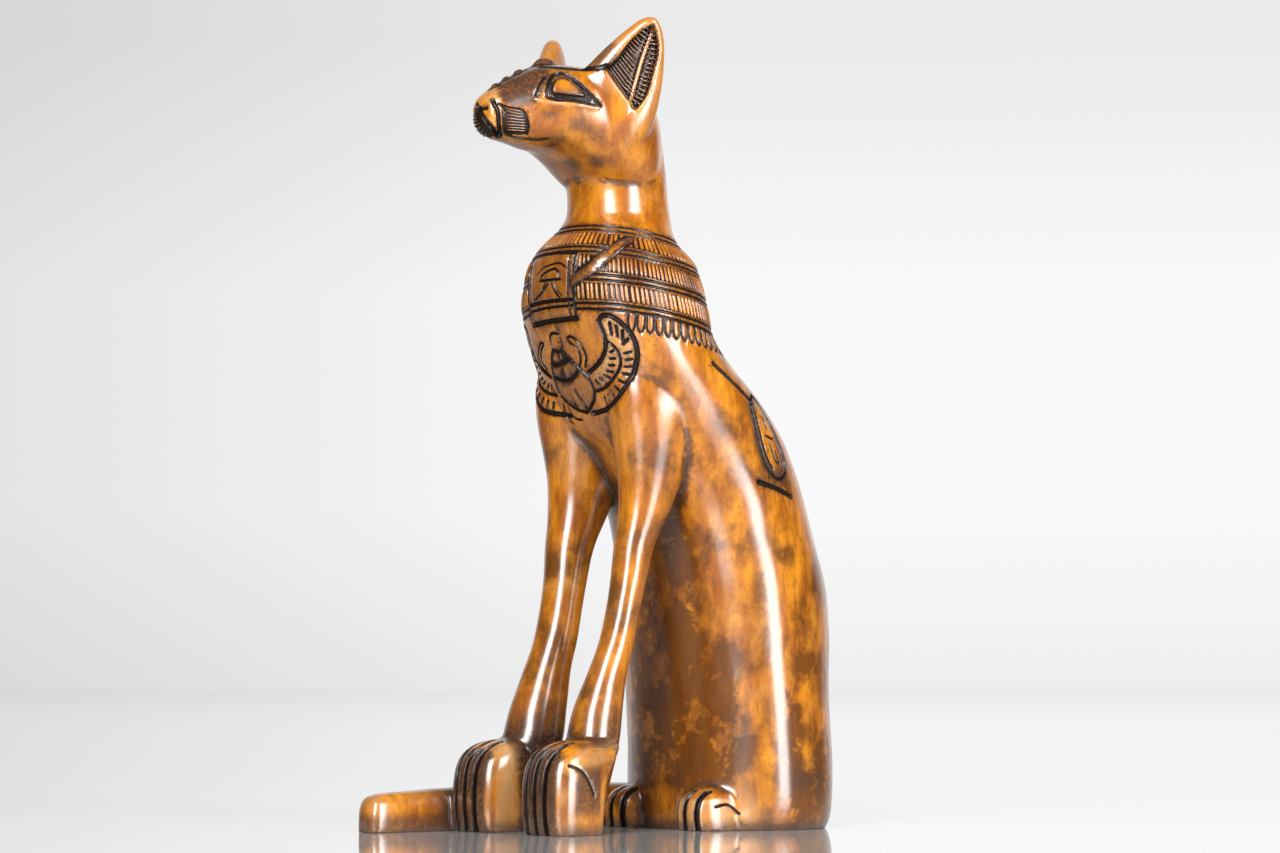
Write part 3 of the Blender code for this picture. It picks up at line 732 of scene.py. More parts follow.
# %% Split the squares near the cuts
def refined(mesh, reach):
    """The mesh with each edge near a cut split in two."""
    close = close_to_cuts(read(mesh, "vertices", "co"), reach)
    work = bmesh.new()
    work.from_mesh(mesh)
    work.verts.ensure_lookup_table()
    edges = [edge for edge in work.edges if close[edge.verts[0].index] and close[edge.verts[1].index]]
    bmesh.ops.subdivide_edges(work, edges=edges, cuts=1, use_grid_fill=True, smooth=0.0)
    work.to_mesh(mesh)
    work.free()
    return mesh


skin = refined(skin, 1.6)
skin = refined(skin, 0.7)
print("faces after splitting:", len(skin.polygons))

# %% Sink the cuts
points = read(skin, "vertices", "co")
normals = read(skin, "vertex_normals", "vector")
x, y, z = points.T
sunk = np.zeros(len(points))
# The patina mark later also takes painted shade in the hollows and between the paws.
patina = np.zeros(len(points))
for line, width, deep, dark in cuts:
    near = near_line(line, points, width)
    away = distance_to(line, points[near])
    half = width / 2
    sunk[near] = np.maximum(sunk[near], deep * (1 - smoothstep(half * 0.35, half * 1.1, away)))
    patina[near] = np.maximum(patina[near], dark * (1 - smoothstep(half * 0.75, half * 1.5, away)))
print("deepest cut in mm:", round(float(sunk.max()), 2))

# %% [markdown]
# ## Areas
#
# Between the lines some areas are lowered or left proud: the floor under the collar's beads, the hollow of
# the ears, the eyeball, the scarab's back. Stain and wear are areas too: a purple-brown patch over the
# bridge of the nose, and pale stone where hands have rubbed the wings and paws.

# %% Inside a drawn outline
def inside(outline, u, v, curved=True):
    """Whether each flat point lies inside a closed outline."""
    loop = smooth_rows(list(outline) + [outline[0]], LINE_STEP) if curved else np.array(outline)
    count = np.zeros(len(u), int)
    for (a_u, a_v), (b_u, b_v) in zip(loop, np.roll(loop, -1, axis=0)):
        crosses = (a_v > v) != (b_v > v)
        slope = (b_u - a_u) / np.where(b_v == a_v, 1e-9, b_v - a_v)
        count += crosses & (u < a_u + (v - a_v) * slope)
    return count % 2 == 1


def depth_inside(outline, u, v):
    """How far each flat point lies inside a closed outline, and 0 outside it."""
    within = inside(outline, u, v)
    loop = smooth_rows(list(outline) + [outline[0]], LINE_STEP)
    flat = np.stack([u[within], v[within], 0 * u[within]], 1)
    away = np.zeros(len(u))
    away[within] = distance_to(np.hstack([loop, np.zeros((len(loop), 1))]), flat)
    return away


# %% Marks that the finish reads
# Each mark has one number for each vertex: stain with painted shade, a deeper stain with painted shade,
# rubbed stone with a painted highlight, and stone without beads.
on_chest = (z > 120) & (z < 180) & (y < 40)
on_head = (z > 205) & (y < 26)
stain = np.zeros(len(points))
worn = np.zeros(len(points))
bare = np.zeros(len(points))
deep_stain = np.zeros(len(points))


def more(mark, amount):
    """Raises a mark to an amount wherever it is lower."""
    np.maximum(mark, amount, out=mark)


# %% Collar floor, pendant plate and strap
STRAP = ((11.3, 167.9), (17.0, 171.6), (20.2, 176.8), (20.6, 181.6))
STRAP_HALF = 1.9
BEAD_ROOM = 1.5
collar_level = z + COLLAR_DROP * y
plate = (np.abs(x) < PENDANT_EDGE + 0.7) & (y < NECK_Y) & (z > 155) & (z < 178)
for line_above, line_below in zip(COLLAR, COLLAR[1:]):
    high, low = line_above - BEAD_ROOM, line_below + BEAD_ROOM
    above_low = smoothstep(low, low + 0.5, collar_level)
    floor = above_low * (1 - smoothstep(high - 0.5, high, collar_level)) * ~plate
    more(sunk, 0.4 * floor)
    more(patina, 0.9 * floor)

# The strap is a pointed leaf that is left standing while the collar's floor is cut down round it.
strap_away = distance_to(onto_skin(smooth_rows(STRAP, LINE_STEP), "front"), points)
strap_share = np.clip((z - STRAP[0][1]) / (STRAP[-1][1] - STRAP[0][1]), 0, 1)
strap_reach = STRAP_HALF * np.sqrt(np.clip(np.sin(math.pi * (0.12 + 0.82 * strap_share)), 0, 1))
strap = (strap_away < strap_reach) & (x > 0)
off_ridge = np.clip(1 - strap_away / strap_reach, 0, 1) < 0.8
sunk = np.where(strap, 0.0, sunk)
patina = np.where(strap, 0.35 * off_ridge, patina)
stain = np.where(strap, off_ridge, stain)
more(bare, plate | (strap_away < strap_reach + 0.2))
edge = (strap_away >= strap_reach) & (strap_away < strap_reach + 0.5) & (x > 0)
patina = np.where(edge & (collar_level < COLLAR[0]), 1.0, patina)
# The pendant plate is darkened a little as painted shade.
more(stain, 0.45 * plate * (patina < 0.5))
print("vertices on the strap:", int(strap.sum()))

# %% Scarab and wings
# The cuts across the beetle's back are shallower than the others, and its stone is stained.
scarab = inside(SCARAB_RIGHT + SCARAB_LEFT[::-1][1:], x, z, curved=False) & on_chest
sunk = np.where(scarab, np.maximum(sunk - 0.25, 0), sunk)
more(stain, 0.4 * scarab)
wing_outline = WING_OUTER + WING_INNER[::-1]
for side in (-1, 1):
    wing = inside(wing_outline, side * x, z, curved=False) & on_chest
    more(worn, 0.9 * wing * smoothstep(134, 146, z))
print("vertices on the scarab:", int(scarab.sum()))

# %% Eyes
# The eyeball rises as a dome from its cut, and its lower part is darkened as painted shade.
for side in (-1, 1):
    here = on_head & (side * x > 0)
    ball = inside(EYEBALL, y, z) & here
    socket = inside(UPPER_LID + LOWER_LID[::-1][1:], y, z, curved=False) & here & ~ball
    more(stain, 0.9 * socket)
    sunk = np.where(socket, np.maximum(sunk, 0.45), sunk)
    stain = np.where(ball, 0.75 * (1 - smoothstep(224.8, 227.8, z)), stain)
    more(patina, 0.5 * ball * (1 - smoothstep(224.8, 226.4, z)))
    dome = smoothstep(0.2, 2.2, depth_inside(EYEBALL, y, z))
    sunk = np.where(ball, np.minimum(sunk, np.maximum(0.9 - 1.3 * dome, 0)), sunk)
print("vertices on the left eyeball:", int(ball.sum()))

# %% Stained patch on the face
PATCH = ((-6.5, 226.1), (1.1, 231.2), (7.5, 234.2), (8.9, 231.8), (6.4, 228.5), (3.9, 224.0), (1.8, 221.8),
         (-1.4, 220.4), (-5.3, 220.6), (-7.1, 221.8), (-7.6, 223.6))
more(stain, inside(PATCH, y, z) & on_head)
more(stain, on_head & (y > -6) & (y < 13) & (np.abs(x) < 7) & (z > 224))
more(stain, 0.8 * (on_head & (y > 6) & (z > 233.0)))

# %% Blotches
# Each has a place and a radius. The deep brown ones on the haunch are drawn out upwards. They are painted
# shadow of the near leg on the front of the haunch and painted shade low on the flank and between the legs,
# with darker stain among them.
DEEP_SPOTS = ((17.3, 52.1, 101.8, 6.0), (12.8, 54.1, 92.7, 8.0), (12.9, 56.5, 83.5, 8.0),
              (11.8, 59.0, 64.9, 9.0), (15.2, 60.9, 52.4, 8.0), (8.0, 60.4, 43.1, 8.0),
              (17.6, 63.0, 26.1, 9.0), (26.0, 65.8, 52.4, 5.0), (27.1, 67.6, 27.8, 9.0),
              (36.4, 83.2, 38.0, 6.0), (36.6, 81.8, 24.7, 7.0), (34.9, 97.2, 16.7, 9.0),
              (36.8, 85.6, 9.2, 7.0), (12.3, 61.7, 17.7, 9.0), (-3.2, 57.3, 71.4, 8.0),
              (-11.0, 60.3, 48.0, 10.0), (-13.0, 62.7, 16.1, 12.0), (2.5, 60.4, 29.0, 12.0),
              (23.2, 64.8, 40.1, 7.0))
SPOTS = ((12.8, 6.4, 219.1, 2.2), (16.0, 15.2, 215.9, 2.8), (17.1, 21.1, 212.6, 2.6),
         (7.7, 11.2, 210.3, 2.6), (10.5, 12.0, 211.8, 2.2), (4.5, 21.4, 205.4, 3.2),
         (12.4, 24.7, 205.6, 2.8), (26.0, 70.0, 92.0, 5.0), (32.0, 78.0, 36.0, 5.0),
         (30.0, 66.0, 30.0, 6.0), (33.0, 92.0, 60.0, 4.0), (20.0, 57.0, 72.0, 4.0))
for *spot, radius in DEEP_SPOTS:
    away = np.linalg.norm((points - spot) * (1, 1, 0.6), axis=1)
    more(deep_stain, 1 - smoothstep(0.2 * radius, 1.1 * radius, away))
for *spot, radius in SPOTS:
    away = np.linalg.norm(points - spot, axis=1)
    more(stain, 0.95 * (1 - smoothstep(0.4 * radius, 1.4 * radius, away)))
print("vertices under deep stain:", int((deep_stain > 0.5).sum()))

# %% Nose tip and whisker pads
# The tip of the nose is rubbed pale and keeps its height over a dark cut. The pads are lowered for whiskers.
more(worn, 0.9 * (on_head & (y < -5.5) & (z > 221.5)) * (stain < 0.5))
tip = on_head & (y < -6.5) & (np.abs(x) < 5)
above_cut = smoothstep(221.0, 222.4, z) * (1 - smoothstep(223.6, 225.0, z))
sunk = np.maximum(sunk - 0.9 * tip * above_cut, 0)
under_tip = tip * (x < 4) * smoothstep(218.8, 219.8, z) * (1 - smoothstep(220.2, 221.2, z))
more(sunk, 1.1 * under_tip)
more(patina, 0.95 * under_tip)
PAD = ((-7.6, 220.6), (-5.3, 219.9), (-1.3, 219.3), (0.9, 215.3), (1.9, 212.5), (-5.0, 212.5), (-7.2, 216.0))
groove_x = np.interp(z, [point[2] for point in GROOVE[::-1]], [point[0] for point in GROOVE[::-1]])
beyond_groove = on_head & (x < groove_x) & (y < -1.0) & (z > 211.5) & (z < 220.0)
pad = (inside(PAD, y, z) & on_head & (np.abs(x) > 2.5)) | beyond_groove
sunk = np.where(pad, np.maximum(sunk, 0.3), sunk)
more(patina, 0.9 * pad)
print("vertices on the whisker pads:", int(pad.sum()))

# %% A boss on the brow and bumps along the bridge of the nose
# Each has its y, half width, half length and height, and stands above the smooth stone.
BOSS = (14.0, 3.2, 6.0, 2.2)
BRIDGE = ((-5.0, 1.9, 1.7, 0.7), (-0.8, 2.1, 1.8, 0.8), (3.8, 2.3, 2.0, 0.9))
on_top = (z > 222) & (y < 24)
for bump_y, half_x, half_y, tall in (BOSS,) + BRIDGE:
    away = np.hypot(x / half_x, (y - bump_y) / half_y)
    sunk -= tall * smoothstep(0.0, 0.75, 1 - away) * on_top
    more(patina, 0.9 * (on_top & (away > 0.85) & (away < 1.25)))
    more(stain, on_top & (away < 1.0))

# %% The raised ridge under each eye, with a painted highlight
for view in ("left", "right"):
    ridge_line = onto_skin(smooth_rows(LID_RIDGE, LINE_STEP), view)
    beside = near_line(ridge_line, points, 1.0)
    on_ridge = 1 - smoothstep(0.25, 0.7, distance_to(ridge_line, points[beside]))
    # The pale colour along the ridge is a painted highlight.
    worn[beside] = np.maximum(worn[beside], on_ridge)
    sunk[beside] -= 0.35 * on_ridge * (patina[beside] < 0.5)
print("height of the boss in mm:", round(-float(sunk.min()), 2))

# %% The back panel's stained border
border = onto_skin(smooth_rows(TABLET + (TABLET[0],), LINE_STEP), "left")
panel = near_line(border, points, 3.0)
in_border = (distance_to(border, points[panel]) < 1.7) & (x[panel] > 0)
stain[panel] = np.maximum(stain[panel], 0.95 * in_border)
print("vertices in the border:", int(in_border.sum()))

# %% Ear hollows
# Outline and rib are drawn flat on the ear: across it from its middle line, and up from its base.
EAR_DEEP = 3.0
EAR_HOLLOW = ((-7.7, 6.6), (-6.0, 10.3), (-4.6, 16.8), (-3.0, 21.7), (-1.5, 24.4), (0.2, 26.4), (1.3, 25.9),
              (5.8, 19.4), (7.5, 11.9), (8.6, 5.3), (7.6, -0.5), (5.6, -1.0), (3.7, 0.3), (-2.3, 3.4))
EAR_RIB_FLAT = ((4.4, 0.7), (2.9, 8.8), (1.8, 15.6), (1.0, 23.8))
across = (EAR_OUTER - EAR_FRONT).normalized()
ear_middle = (EAR_FRONT + EAR_OUTER) / 2
to_tip = EAR_TIP - ear_middle
rise = to_tip.normalized()
facing = across.cross(rise).normalized()
from_middle = np.stack([np.abs(x) - ear_middle.x, y - ear_middle.y, z - ear_middle.z], 1)
ear_up = from_middle @ np.array(rise)
ear_across = from_middle @ np.array(across) - to_tip.dot(across) * ear_up / to_tip.dot(rise)
in_front = from_middle @ np.array(facing) > 0
hollow = smoothstep(0.0, 1.8, depth_inside(EAR_HOLLOW, ear_across, ear_up)) * in_front
hollow = np.where((z > 214) & (np.abs(x) > 8), hollow, 0)
in_ear = np.flatnonzero(hollow)
rib_line = smooth_rows(EAR_RIB_FLAT, LINE_STEP)
rib_line = np.hstack([rib_line, np.zeros((len(rib_line), 1))])
rib_away = np.full(len(points), 9.0)
rib_away[in_ear] = distance_to(rib_line, np.stack([ear_across, ear_up, 0 * ear_up], 1)[in_ear])
more(patina, smoothstep(0.2, 0.6, hollow) * 0.95 * smoothstep(0.4, 0.8, rib_away))
more(stain, smoothstep(0.1, 0.4, hollow) * smoothstep(0.2, 0.6, rib_away))
hollow *= 1 - 0.45 * (1 - smoothstep(0.3, 1.2, rib_away))
ear_way = np.stack([np.sign(x) * facing.x, 0 * x + facing.y, 0 * x + facing.z], 1)
print("vertices in the ears' hollows:", int((hollow > 0.5).sum()))

# %% [markdown]
# ## A surface made by hand
#
# Filed and sanded stone is never quite even: it keeps shallow waves a centimetre or two long, and small
# pits where grains broke out. Waves could be left to the material's bump, but they bend the long
# highlights on the flank, so they are cut into the skin as a few slow sine waves.

# %% Waves and the cut skin
WAVE_DEPTH = 0.10
# The way, length and start of each wave.
WAVES = (((0.8, 0.5, 0.3), 23.0, 0.4), ((-0.4, 0.7, 0.6), 17.0, 2.1), ((0.2, -0.6, 0.8), 29.0, 4.0),
         ((0.7, 0.1, -0.7), 12.0, 1.2), ((-0.6, 0.6, 0.5), 9.0, 5.3))


def waves(points):
    """A slow uneven swell over the whole figure, between about -1 and 1."""
    swell = np.zeros(len(points))
    for way, length, start in WAVES:
        swell += np.sin(points @ np.array(way) * (2 * math.pi / length) + start) * length / 60
    return swell


inward = sunk - WAVE_DEPTH * waves(points)
moved = points - normals * inward[:, None] - ear_way * (EAR_DEEP * hollow)[:, None]
skin.vertices.foreach_set("co", moved.astype(np.float32).ravel())
skin.update()
print("furthest move in mm:", round(float(np.linalg.norm(moved - points, axis=1).max()), 2))

# %% [markdown]
# ## Dark hollows with painted shade, and rubbed edges
#
# The carver's patina stayed in every hollow, not only in the cuts: between the toes, behind the legs, under
# the chin, and painted shade is laid over the same hollows. Ambient occlusion in the material would find such
# places, but it is slow and an exported model loses it. Comparing the skin with a smoothed copy of itself
# tells
# the same thing: where the smoothed skin lies outside the real one, there is a hollow, darkened by patina and
# painted shade, and where it lies inside, an edge that hands rub pale.

# %% Hollows and edges
SMOOTHING_ROUNDS = 60
ends = np.empty(len(skin.edges) * 2, np.int32)
skin.edges.foreach_get("vertices", ends)
first, second = ends.reshape(-1, 2).T
neighbours = np.bincount(first, minlength=len(points)) + np.bincount(second, minlength=len(points))


def smoothed(values):
    """Values averaged with their neighbours' over and over."""
    for _ in range(SMOOTHING_ROUNDS):
        total = np.bincount(first, values[second], len(points))
        total += np.bincount(second, values[first], len(points))
        values = 0.5 * values + 0.5 * total / neighbours
    return values


average = np.stack([smoothed(moved[:, k]) for k in range(3)], 1)
hollowness = ((average - moved) * normals).sum(1)
# Patina and painted shade darken the hollows.
more(patina, 0.5 * smoothstep(0.15, 0.8, hollowness))
more(stain, 0.75 * smoothstep(0.12, 0.5, hollowness) * (z < 200))
more(deep_stain, smoothstep(0.05, 0.3, hollowness))
more(worn, 0.5 * smoothstep(0.25, 0.8, -hollowness))
print("share of dark vertices:", round(float((patina > 0.5).mean()), 3))

# %% [markdown]
# ## Painted shade, stain and wear low down
#
# Low down, painted shade darkens the places where the legs meet the paws, the inner sides between the paws,
# the back of the far paw's side, the crease over the hind feet and the foot along the floor. The toes are
# stained dark, the tail is darker low down and beside the paw, and hands that lift the figure rub the paws
# pale again. A smooth gradient would look sprayed on, so the edges of these areas follow the same slow waves
# as the surface.

# %% Front paws
# Toes are dark. The inner sides between the paws and the back of the far paw's side are darkened as painted
# shade. The outer side and the front of the far paw are rubbed.
paws = (y < 32) & (y > -4) & (x > -29) & (z < 30)
uneven = smoothstep(-0.2, 0.3, waves(points * 1.7))
outer_side = paws & (x > 27)
far_side = paws & (x < -4) & (y > 1.5)
between_paws = paws & (np.abs(x) < 9) & (y > 10)
toes = paws & (y <= 2.5) & (np.abs(np.abs(x) - PAW_MIDDLE) < 8.5)
more(worn, 0.9 * (far_side & (y < 10)))
more(stain, 0.9 * (far_side & (y > 11)))
more(worn, 0.5 * outer_side * (1 - uneven))
more(stain, 0.85 * (outer_side & (z > 6) & (z < 20) & (y > 4) & (y < 14)))
more(stain, toes)
more(stain, 0.95 * between_paws)
more(patina, 0.55 * between_paws)
print("vertices on the paws:", int(paws.sum()))

# %% Ankles, hind feet, tail and foot line
# Painted shade where the legs meet the paws.
ankle = np.exp(-(((z - 30) / 8) ** 2)) * (y > 8) * (y < 36) * (np.abs(x) < 27)
more(stain, 0.95 * ankle * smoothstep(-0.5, 0.1, waves(points * 1.3)))
hind_foot = (z < 13) & (x > 8) & (y > 50) & (y < 92)
more(worn, 0.8 * (hind_foot & (z < 9.5)) * (1 - smoothstep(66, 80, y)))
# Painted shade in the crease over the hind feet.
crease = np.exp(-(((z - 15.5) / 4.5) ** 2)) * (y > 55) * (y < 96) * (x > 4)
more(stain, 0.9 * crease * smoothstep(-0.6, 0.2, waves(points * 1.2)))
# Painted shade along the foot where it meets the floor.
foot_line = 1 - smoothstep(1.5, 4.0, z)
more(stain, 0.85 * foot_line)
on_tail = (x < -24) & (z < 14) & (y < 4)
low_or_behind = smoothstep(-12, -4, y) + (1 - smoothstep(4.0, 6.5, z))
more(stain, 0.8 * on_tail * low_or_behind.clip(0, 1))
print("share of stained vertices:", round(float((stain > 0.5).mean()), 3))

# %% Marks kept on the skin
marks = {"patina": patina, "stain": stain, "worn": worn, "bare": bare, "deep_stain": deep_stain}
for name, values in marks.items():
    mark = skin.attributes.new(name, "FLOAT", "POINT")
    mark.data.foreach_set("value", values.astype(np.float32))
print("marks:", ", ".join(marks))

# %% [markdown]
# ## Seated, thinned and set in the frame
#
# Most of the fine squares lie on plain stone, where fewer would do. A collapse decimation keeps triangles
# where the surface bends. The foot is cut flat at the table, and the whole figure is moved so that it
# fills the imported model's box.

# %% Fewer triangles, a flat foot and the real place
MOST_TRIANGLES = 188000


def fewer(modifiers):
    split = modifiers.new("triangles", "TRIANGULATE")
    split.min_vertices = 4
    thin = modifiers.new("fewer", "DECIMATE")
    skin.calc_loop_triangles()
    thin.ratio = min(1.0, MOST_TRIANGLES / len(skin.loop_triangles))


figure = with_modifiers(skin, "thinning", fewer)
work = bmesh.new()
work.from_mesh(figure)
bmesh.ops.bisect_plane(work, geom=work.verts[:] + work.edges[:] + work.faces[:], dist=0.0001,
                       plane_co=(0, 0, 0), plane_no=(0, 0, -1), clear_outer=True)
bmesh.ops.holes_fill(work, edges=[edge for edge in work.edges if edge.is_boundary], sides=0)
bmesh.ops.triangulate(work, faces=[face for face in work.faces if len(face.verts) > 3])
bmesh.ops.recalc_face_normals(work, faces=work.faces)
work.to_mesh(figure)
work.free()

figure_points = read(figure, "vertices", "co")
low, high = figure_points.min(0), figure_points.max(0)
box_low, box_high = (np.array(corner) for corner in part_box("cat_figure"))
scale = (box_high[2] - box_low[2]) / (high[2] - low[2])
shift = np.array([(low[0] + high[0]) / 2, (low[1] + high[1]) / 2, low[2]])
centre = np.array([(box_low[0] + box_high[0]) / 2, (box_low[1] + box_high[1]) / 2, box_low[2]])


def in_frame(drawn):
    """Points of the drawing, in millimetres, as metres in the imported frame."""
    return (np.asarray(drawn) - shift) * scale + centre


set_points = np.clip(in_frame(figure_points), box_low, box_high)
figure.vertices.foreach_set("co", set_points.astype(np.float32).ravel())
figure.update()
figure.shade_smooth()
cat = bpy.data.objects.new("carved_cat", figure)
bpy.context.scene.collection.objects.link(cat)
print("triangles:", len(figure.polygons), "scale:", round(scale / MM, 4))

# %% [markdown]
# ## Rows of beads by Geometry Nodes
#
# The collar, the ears and the whisker pads are filled with rows of thin laths side by side: bead tubes,
# hair and whiskers. Each row runs between two guide lines, so one Geometry Nodes tree can make them
# all. It lays a grid of points between the guides, one column for a lath, drops the points onto the
# stone, turns the columns into curves and gives them a round body. Laths on a strap or plate are left
# out by the skin's own mark for that.

# %% One node with its settings and links
def node(tree, kind, links=None, **settings):
    """Adds a node, sets its properties, and links or sets its inputs by name or number.

    A node given for an input is linked from its first output, and a socket from itself.
    """
    made = tree.nodes.new(kind)
    for name, value in settings.items():
        setattr(made, name, value)
    for name, value in (links or {}).items():
        socket = made.inputs[name]
        if isinstance(value, bpy.types.Node):
            tree.links.new(value.outputs[0], socket)
        elif isinstance(value, bpy.types.NodeSocket):
            tree.links.new(value, socket)
        else:
            socket.default_value = value
    return made


# %% The tree's inputs
LATH_POINTS = 7
tree = bpy.data.node_groups.new("laths between two guides", "GeometryNodeTree")
tree.interface.new_socket("Guides", in_out="INPUT", socket_type="NodeSocketGeometry")
for name, kind in (("Stone", "Object"), ("Pitch", "Float"), ("Width", "Float"), ("Lift", "Float"),
                   ("Wander", "Float"), ("Stain", "Float"), ("Seed", "Int"), ("Finish", "Material")):
    tree.interface.new_socket(name, in_out="INPUT", socket_type="NodeSocket" + kind)
tree.interface.new_socket("Laths", in_out="OUTPUT", socket_type="NodeSocketGeometry")
given = node(tree, "NodeGroupInput").outputs

# %% A column of points for each lath
# Both guides are measured together, so half of that is a row's length.
both = node(tree, "GeometryNodeCurveLength", {"Curve": given["Guides"]})
row_length = node(tree, "ShaderNodeMath", {0: both, 1: 2.0}, operation="DIVIDE")
count = node(tree, "ShaderNodeMath", {0: row_length, 1: given["Pitch"]}, operation="DIVIDE")
count = node(tree, "ShaderNodeMath", {0: count}, operation="ROUND")
grid = node(tree, "GeometryNodeMeshGrid", {"Vertices X": count, "Vertices Y": LATH_POINTS})
index = node(tree, "GeometryNodeInputIndex")
column = node(tree, "ShaderNodeMath", {0: index, 1: LATH_POINTS}, operation="DIVIDE")
column = node(tree, "ShaderNodeMath", {0: column}, operation="FLOOR")
row = node(tree, "ShaderNodeMath", {0: index, 1: LATH_POINTS}, operation="MODULO")
along = node(tree, "ShaderNodeMath", {0: row, 1: LATH_POINTS - 1}, operation="DIVIDE")

# %% Each column between the guides
stray = node(tree, "FunctionNodeRandomValue", {2: -1.0, 3: 1.0, "ID": column, "Seed": given["Seed"]},
             data_type="FLOAT")
wander = node(tree, "ShaderNodeMath", {0: stray.outputs[1], 1: given["Wander"]}, operation="MULTIPLY")
offset = node(tree, "ShaderNodeMath", {0: column, 1: 0.5}, operation="ADD")
offset = node(tree, "ShaderNodeMath", {0: offset, 1: wander}, operation="ADD")
factor = node(tree, "ShaderNodeMath", {0: offset, 1: count}, operation="DIVIDE")
places = []
for number in (0, 1):
    sample = node(tree, "GeometryNodeSampleCurve",
                  {"Curves": given["Guides"], "Factor": factor, "Curve Index": number}, mode="FACTOR")
    places.append(sample.outputs["Position"])
between = node(tree, "ShaderNodeMix", {0: along, 4: places[0], 5: places[1]}, data_type="VECTOR")
laid = node(tree, "GeometryNodeSetPosition", {"Geometry": grid, "Position": between.outputs[1]})

# %% Only the edges along a lath stay
edge = node(tree, "GeometryNodeInputMeshEdgeVertices").outputs
step = node(tree, "ShaderNodeMath", {0: edge["Vertex Index 1"], 1: edge["Vertex Index 2"]},
            operation="SUBTRACT")
step = node(tree, "ShaderNodeMath", {0: step}, operation="ABSOLUTE")
cross = node(tree, "FunctionNodeCompare", {0: step, 1: 1.5}, data_type="FLOAT", operation="GREATER_THAN")
columns = node(tree, "GeometryNodeDeleteGeometry", {"Geometry": laid, "Selection": cross},
               domain="EDGE", mode="EDGE_FACE")

# %% Down onto the stone
stone_info = node(tree, "GeometryNodeObjectInfo", {"Object": given["Stone"]}, transform_space="RELATIVE")
stone_geometry = stone_info.outputs["Geometry"]
position = node(tree, "GeometryNodeInputPosition")
normal = node(tree, "GeometryNodeInputNormal")
bare_mark = node(tree, "GeometryNodeInputNamedAttribute", {"Name": "bare"}, data_type="FLOAT")

# The mark, the way out and the place of the stone nearest to each point of the laths.
nearest = []
for value, data_type in ((bare_mark, "FLOAT"), (normal, "FLOAT_VECTOR"), (position, "FLOAT_VECTOR")):
    sample = node(tree, "GeometryNodeSampleNearestSurface",
                  {"Mesh": stone_geometry, "Value": value, "Sample Position": position},
                  data_type=data_type)
    nearest.append(sample.outputs["Value"])
nearest_mark, nearest_way, nearest_place = nearest

bare_here = node(tree, "FunctionNodeCompare", {0: nearest_mark, 1: 0.5},
                 data_type="FLOAT", operation="GREATER_THAN")
free = node(tree, "GeometryNodeDeleteGeometry", {"Geometry": columns, "Selection": bare_here},
            domain="POINT")
outward = node(tree, "ShaderNodeVectorMath", {0: nearest_way, "Scale": given["Lift"]},
               operation="SCALE")
lowered = node(tree, "GeometryNodeSetPosition",
               {"Geometry": free, "Position": nearest_place, "Offset": outward})

# %% A round body with thin ends
curves = node(tree, "GeometryNodeMeshToCurve", {"Mesh": lowered})
spline = node(tree, "GeometryNodeSplineParameter")
off_middle = node(tree, "ShaderNodeMath", {0: spline.outputs["Factor"], 1: 0.5}, operation="SUBTRACT")
off_middle = node(tree, "ShaderNodeMath", {0: off_middle}, operation="ABSOLUTE")
taper = node(tree, "ShaderNodeMapRange", {0: off_middle, 1: 0.36, 2: 0.5, 3: 1.0, 4: 0.35})
radius = node(tree, "ShaderNodeMath", {0: taper, 1: given["Width"]}, operation="MULTIPLY")
radius = node(tree, "ShaderNodeMath", {0: radius, 1: 0.5}, operation="MULTIPLY")
profile = node(tree, "GeometryNodeCurvePrimitiveCircle", {"Resolution": 6, "Radius": 1.0})
body = node(tree, "GeometryNodeCurveToMesh",
            {"Curve": curves, "Profile Curve": profile, "Scale": radius, "Fill Caps": True})

# %% Patina beside the laths, and their stain
# Within a tenth of a millimetre of the stone, a lath is as dark as the floor that it lies on.
height = node(tree, "GeometryNodeProximity", {"Geometry": stone_geometry, "Sample Position": position},
              target_element="FACES")
dark = node(tree, "ShaderNodeMapRange",
            {0: height.outputs["Distance"], 1: 0.12 * MM, 2: 0.34 * MM, 3: 0.9, 4: 0.0})
marked = node(tree, "GeometryNodeStoreNamedAttribute", {"Geometry": body, "Name": "patina", "Value": dark},
              data_type="FLOAT", domain="POINT")
marked = node(tree, "GeometryNodeStoreNamedAttribute",
              {"Geometry": marked, "Name": "stain", "Value": given["Stain"]},
              data_type="FLOAT", domain="POINT")
real = node(tree, "GeometryNodeRealizeInstances", {"Geometry": marked})
finished = node(tree, "GeometryNodeSetMaterial", {"Geometry": real, "Material": given["Finish"]})
node(tree, "NodeGroupOutput", {"Laths": finished})
print("nodes in the lath tree:", len(tree.nodes))

# %% [markdown]
# ## The finish: stained and waxed soapstone
#
# Soapstone is soft and fine-grained, so a file leaves it smooth and wax makes it shine almost like glaze.
# The stain soaks in unevenly. It runs down the figure in streaks, leaves darker clouds where the stone is
# more open, and stays black-brown in the cuts. All of that is colour, so it is mixed from noise patterns in
# the figure's own coordinates and from the marks that the carving left on the skin. Those marks also carry
# painted shade in the hollows and creases and a painted highlight under the eyes. The gloss comes from a
# clear coat over a slightly rougher stone.

# %% Colours and pattern sizes
def linear(code):
    """An sRGB hex colour as the linear one that the shader takes."""
    parts = [int(code[k : k + 2], 16) / 255 for k in (0, 2, 4)]
    return [c / 12.92 if c <= 0.04045 else ((c + 0.055) / 1.055) ** 2.4 for c in parts] + [1.0]


HONEY = linear("C67C16")
AMBER = linear("935006")
DEEP_BROWN = linear("532C08")
CREAM = linear("D6A25E")
RUBBED_AND_HIGHLIGHT = linear("C89A66")
PURPLE_BROWN = linear("3E2B22")
BLACK_BROWN = linear("1C110C")
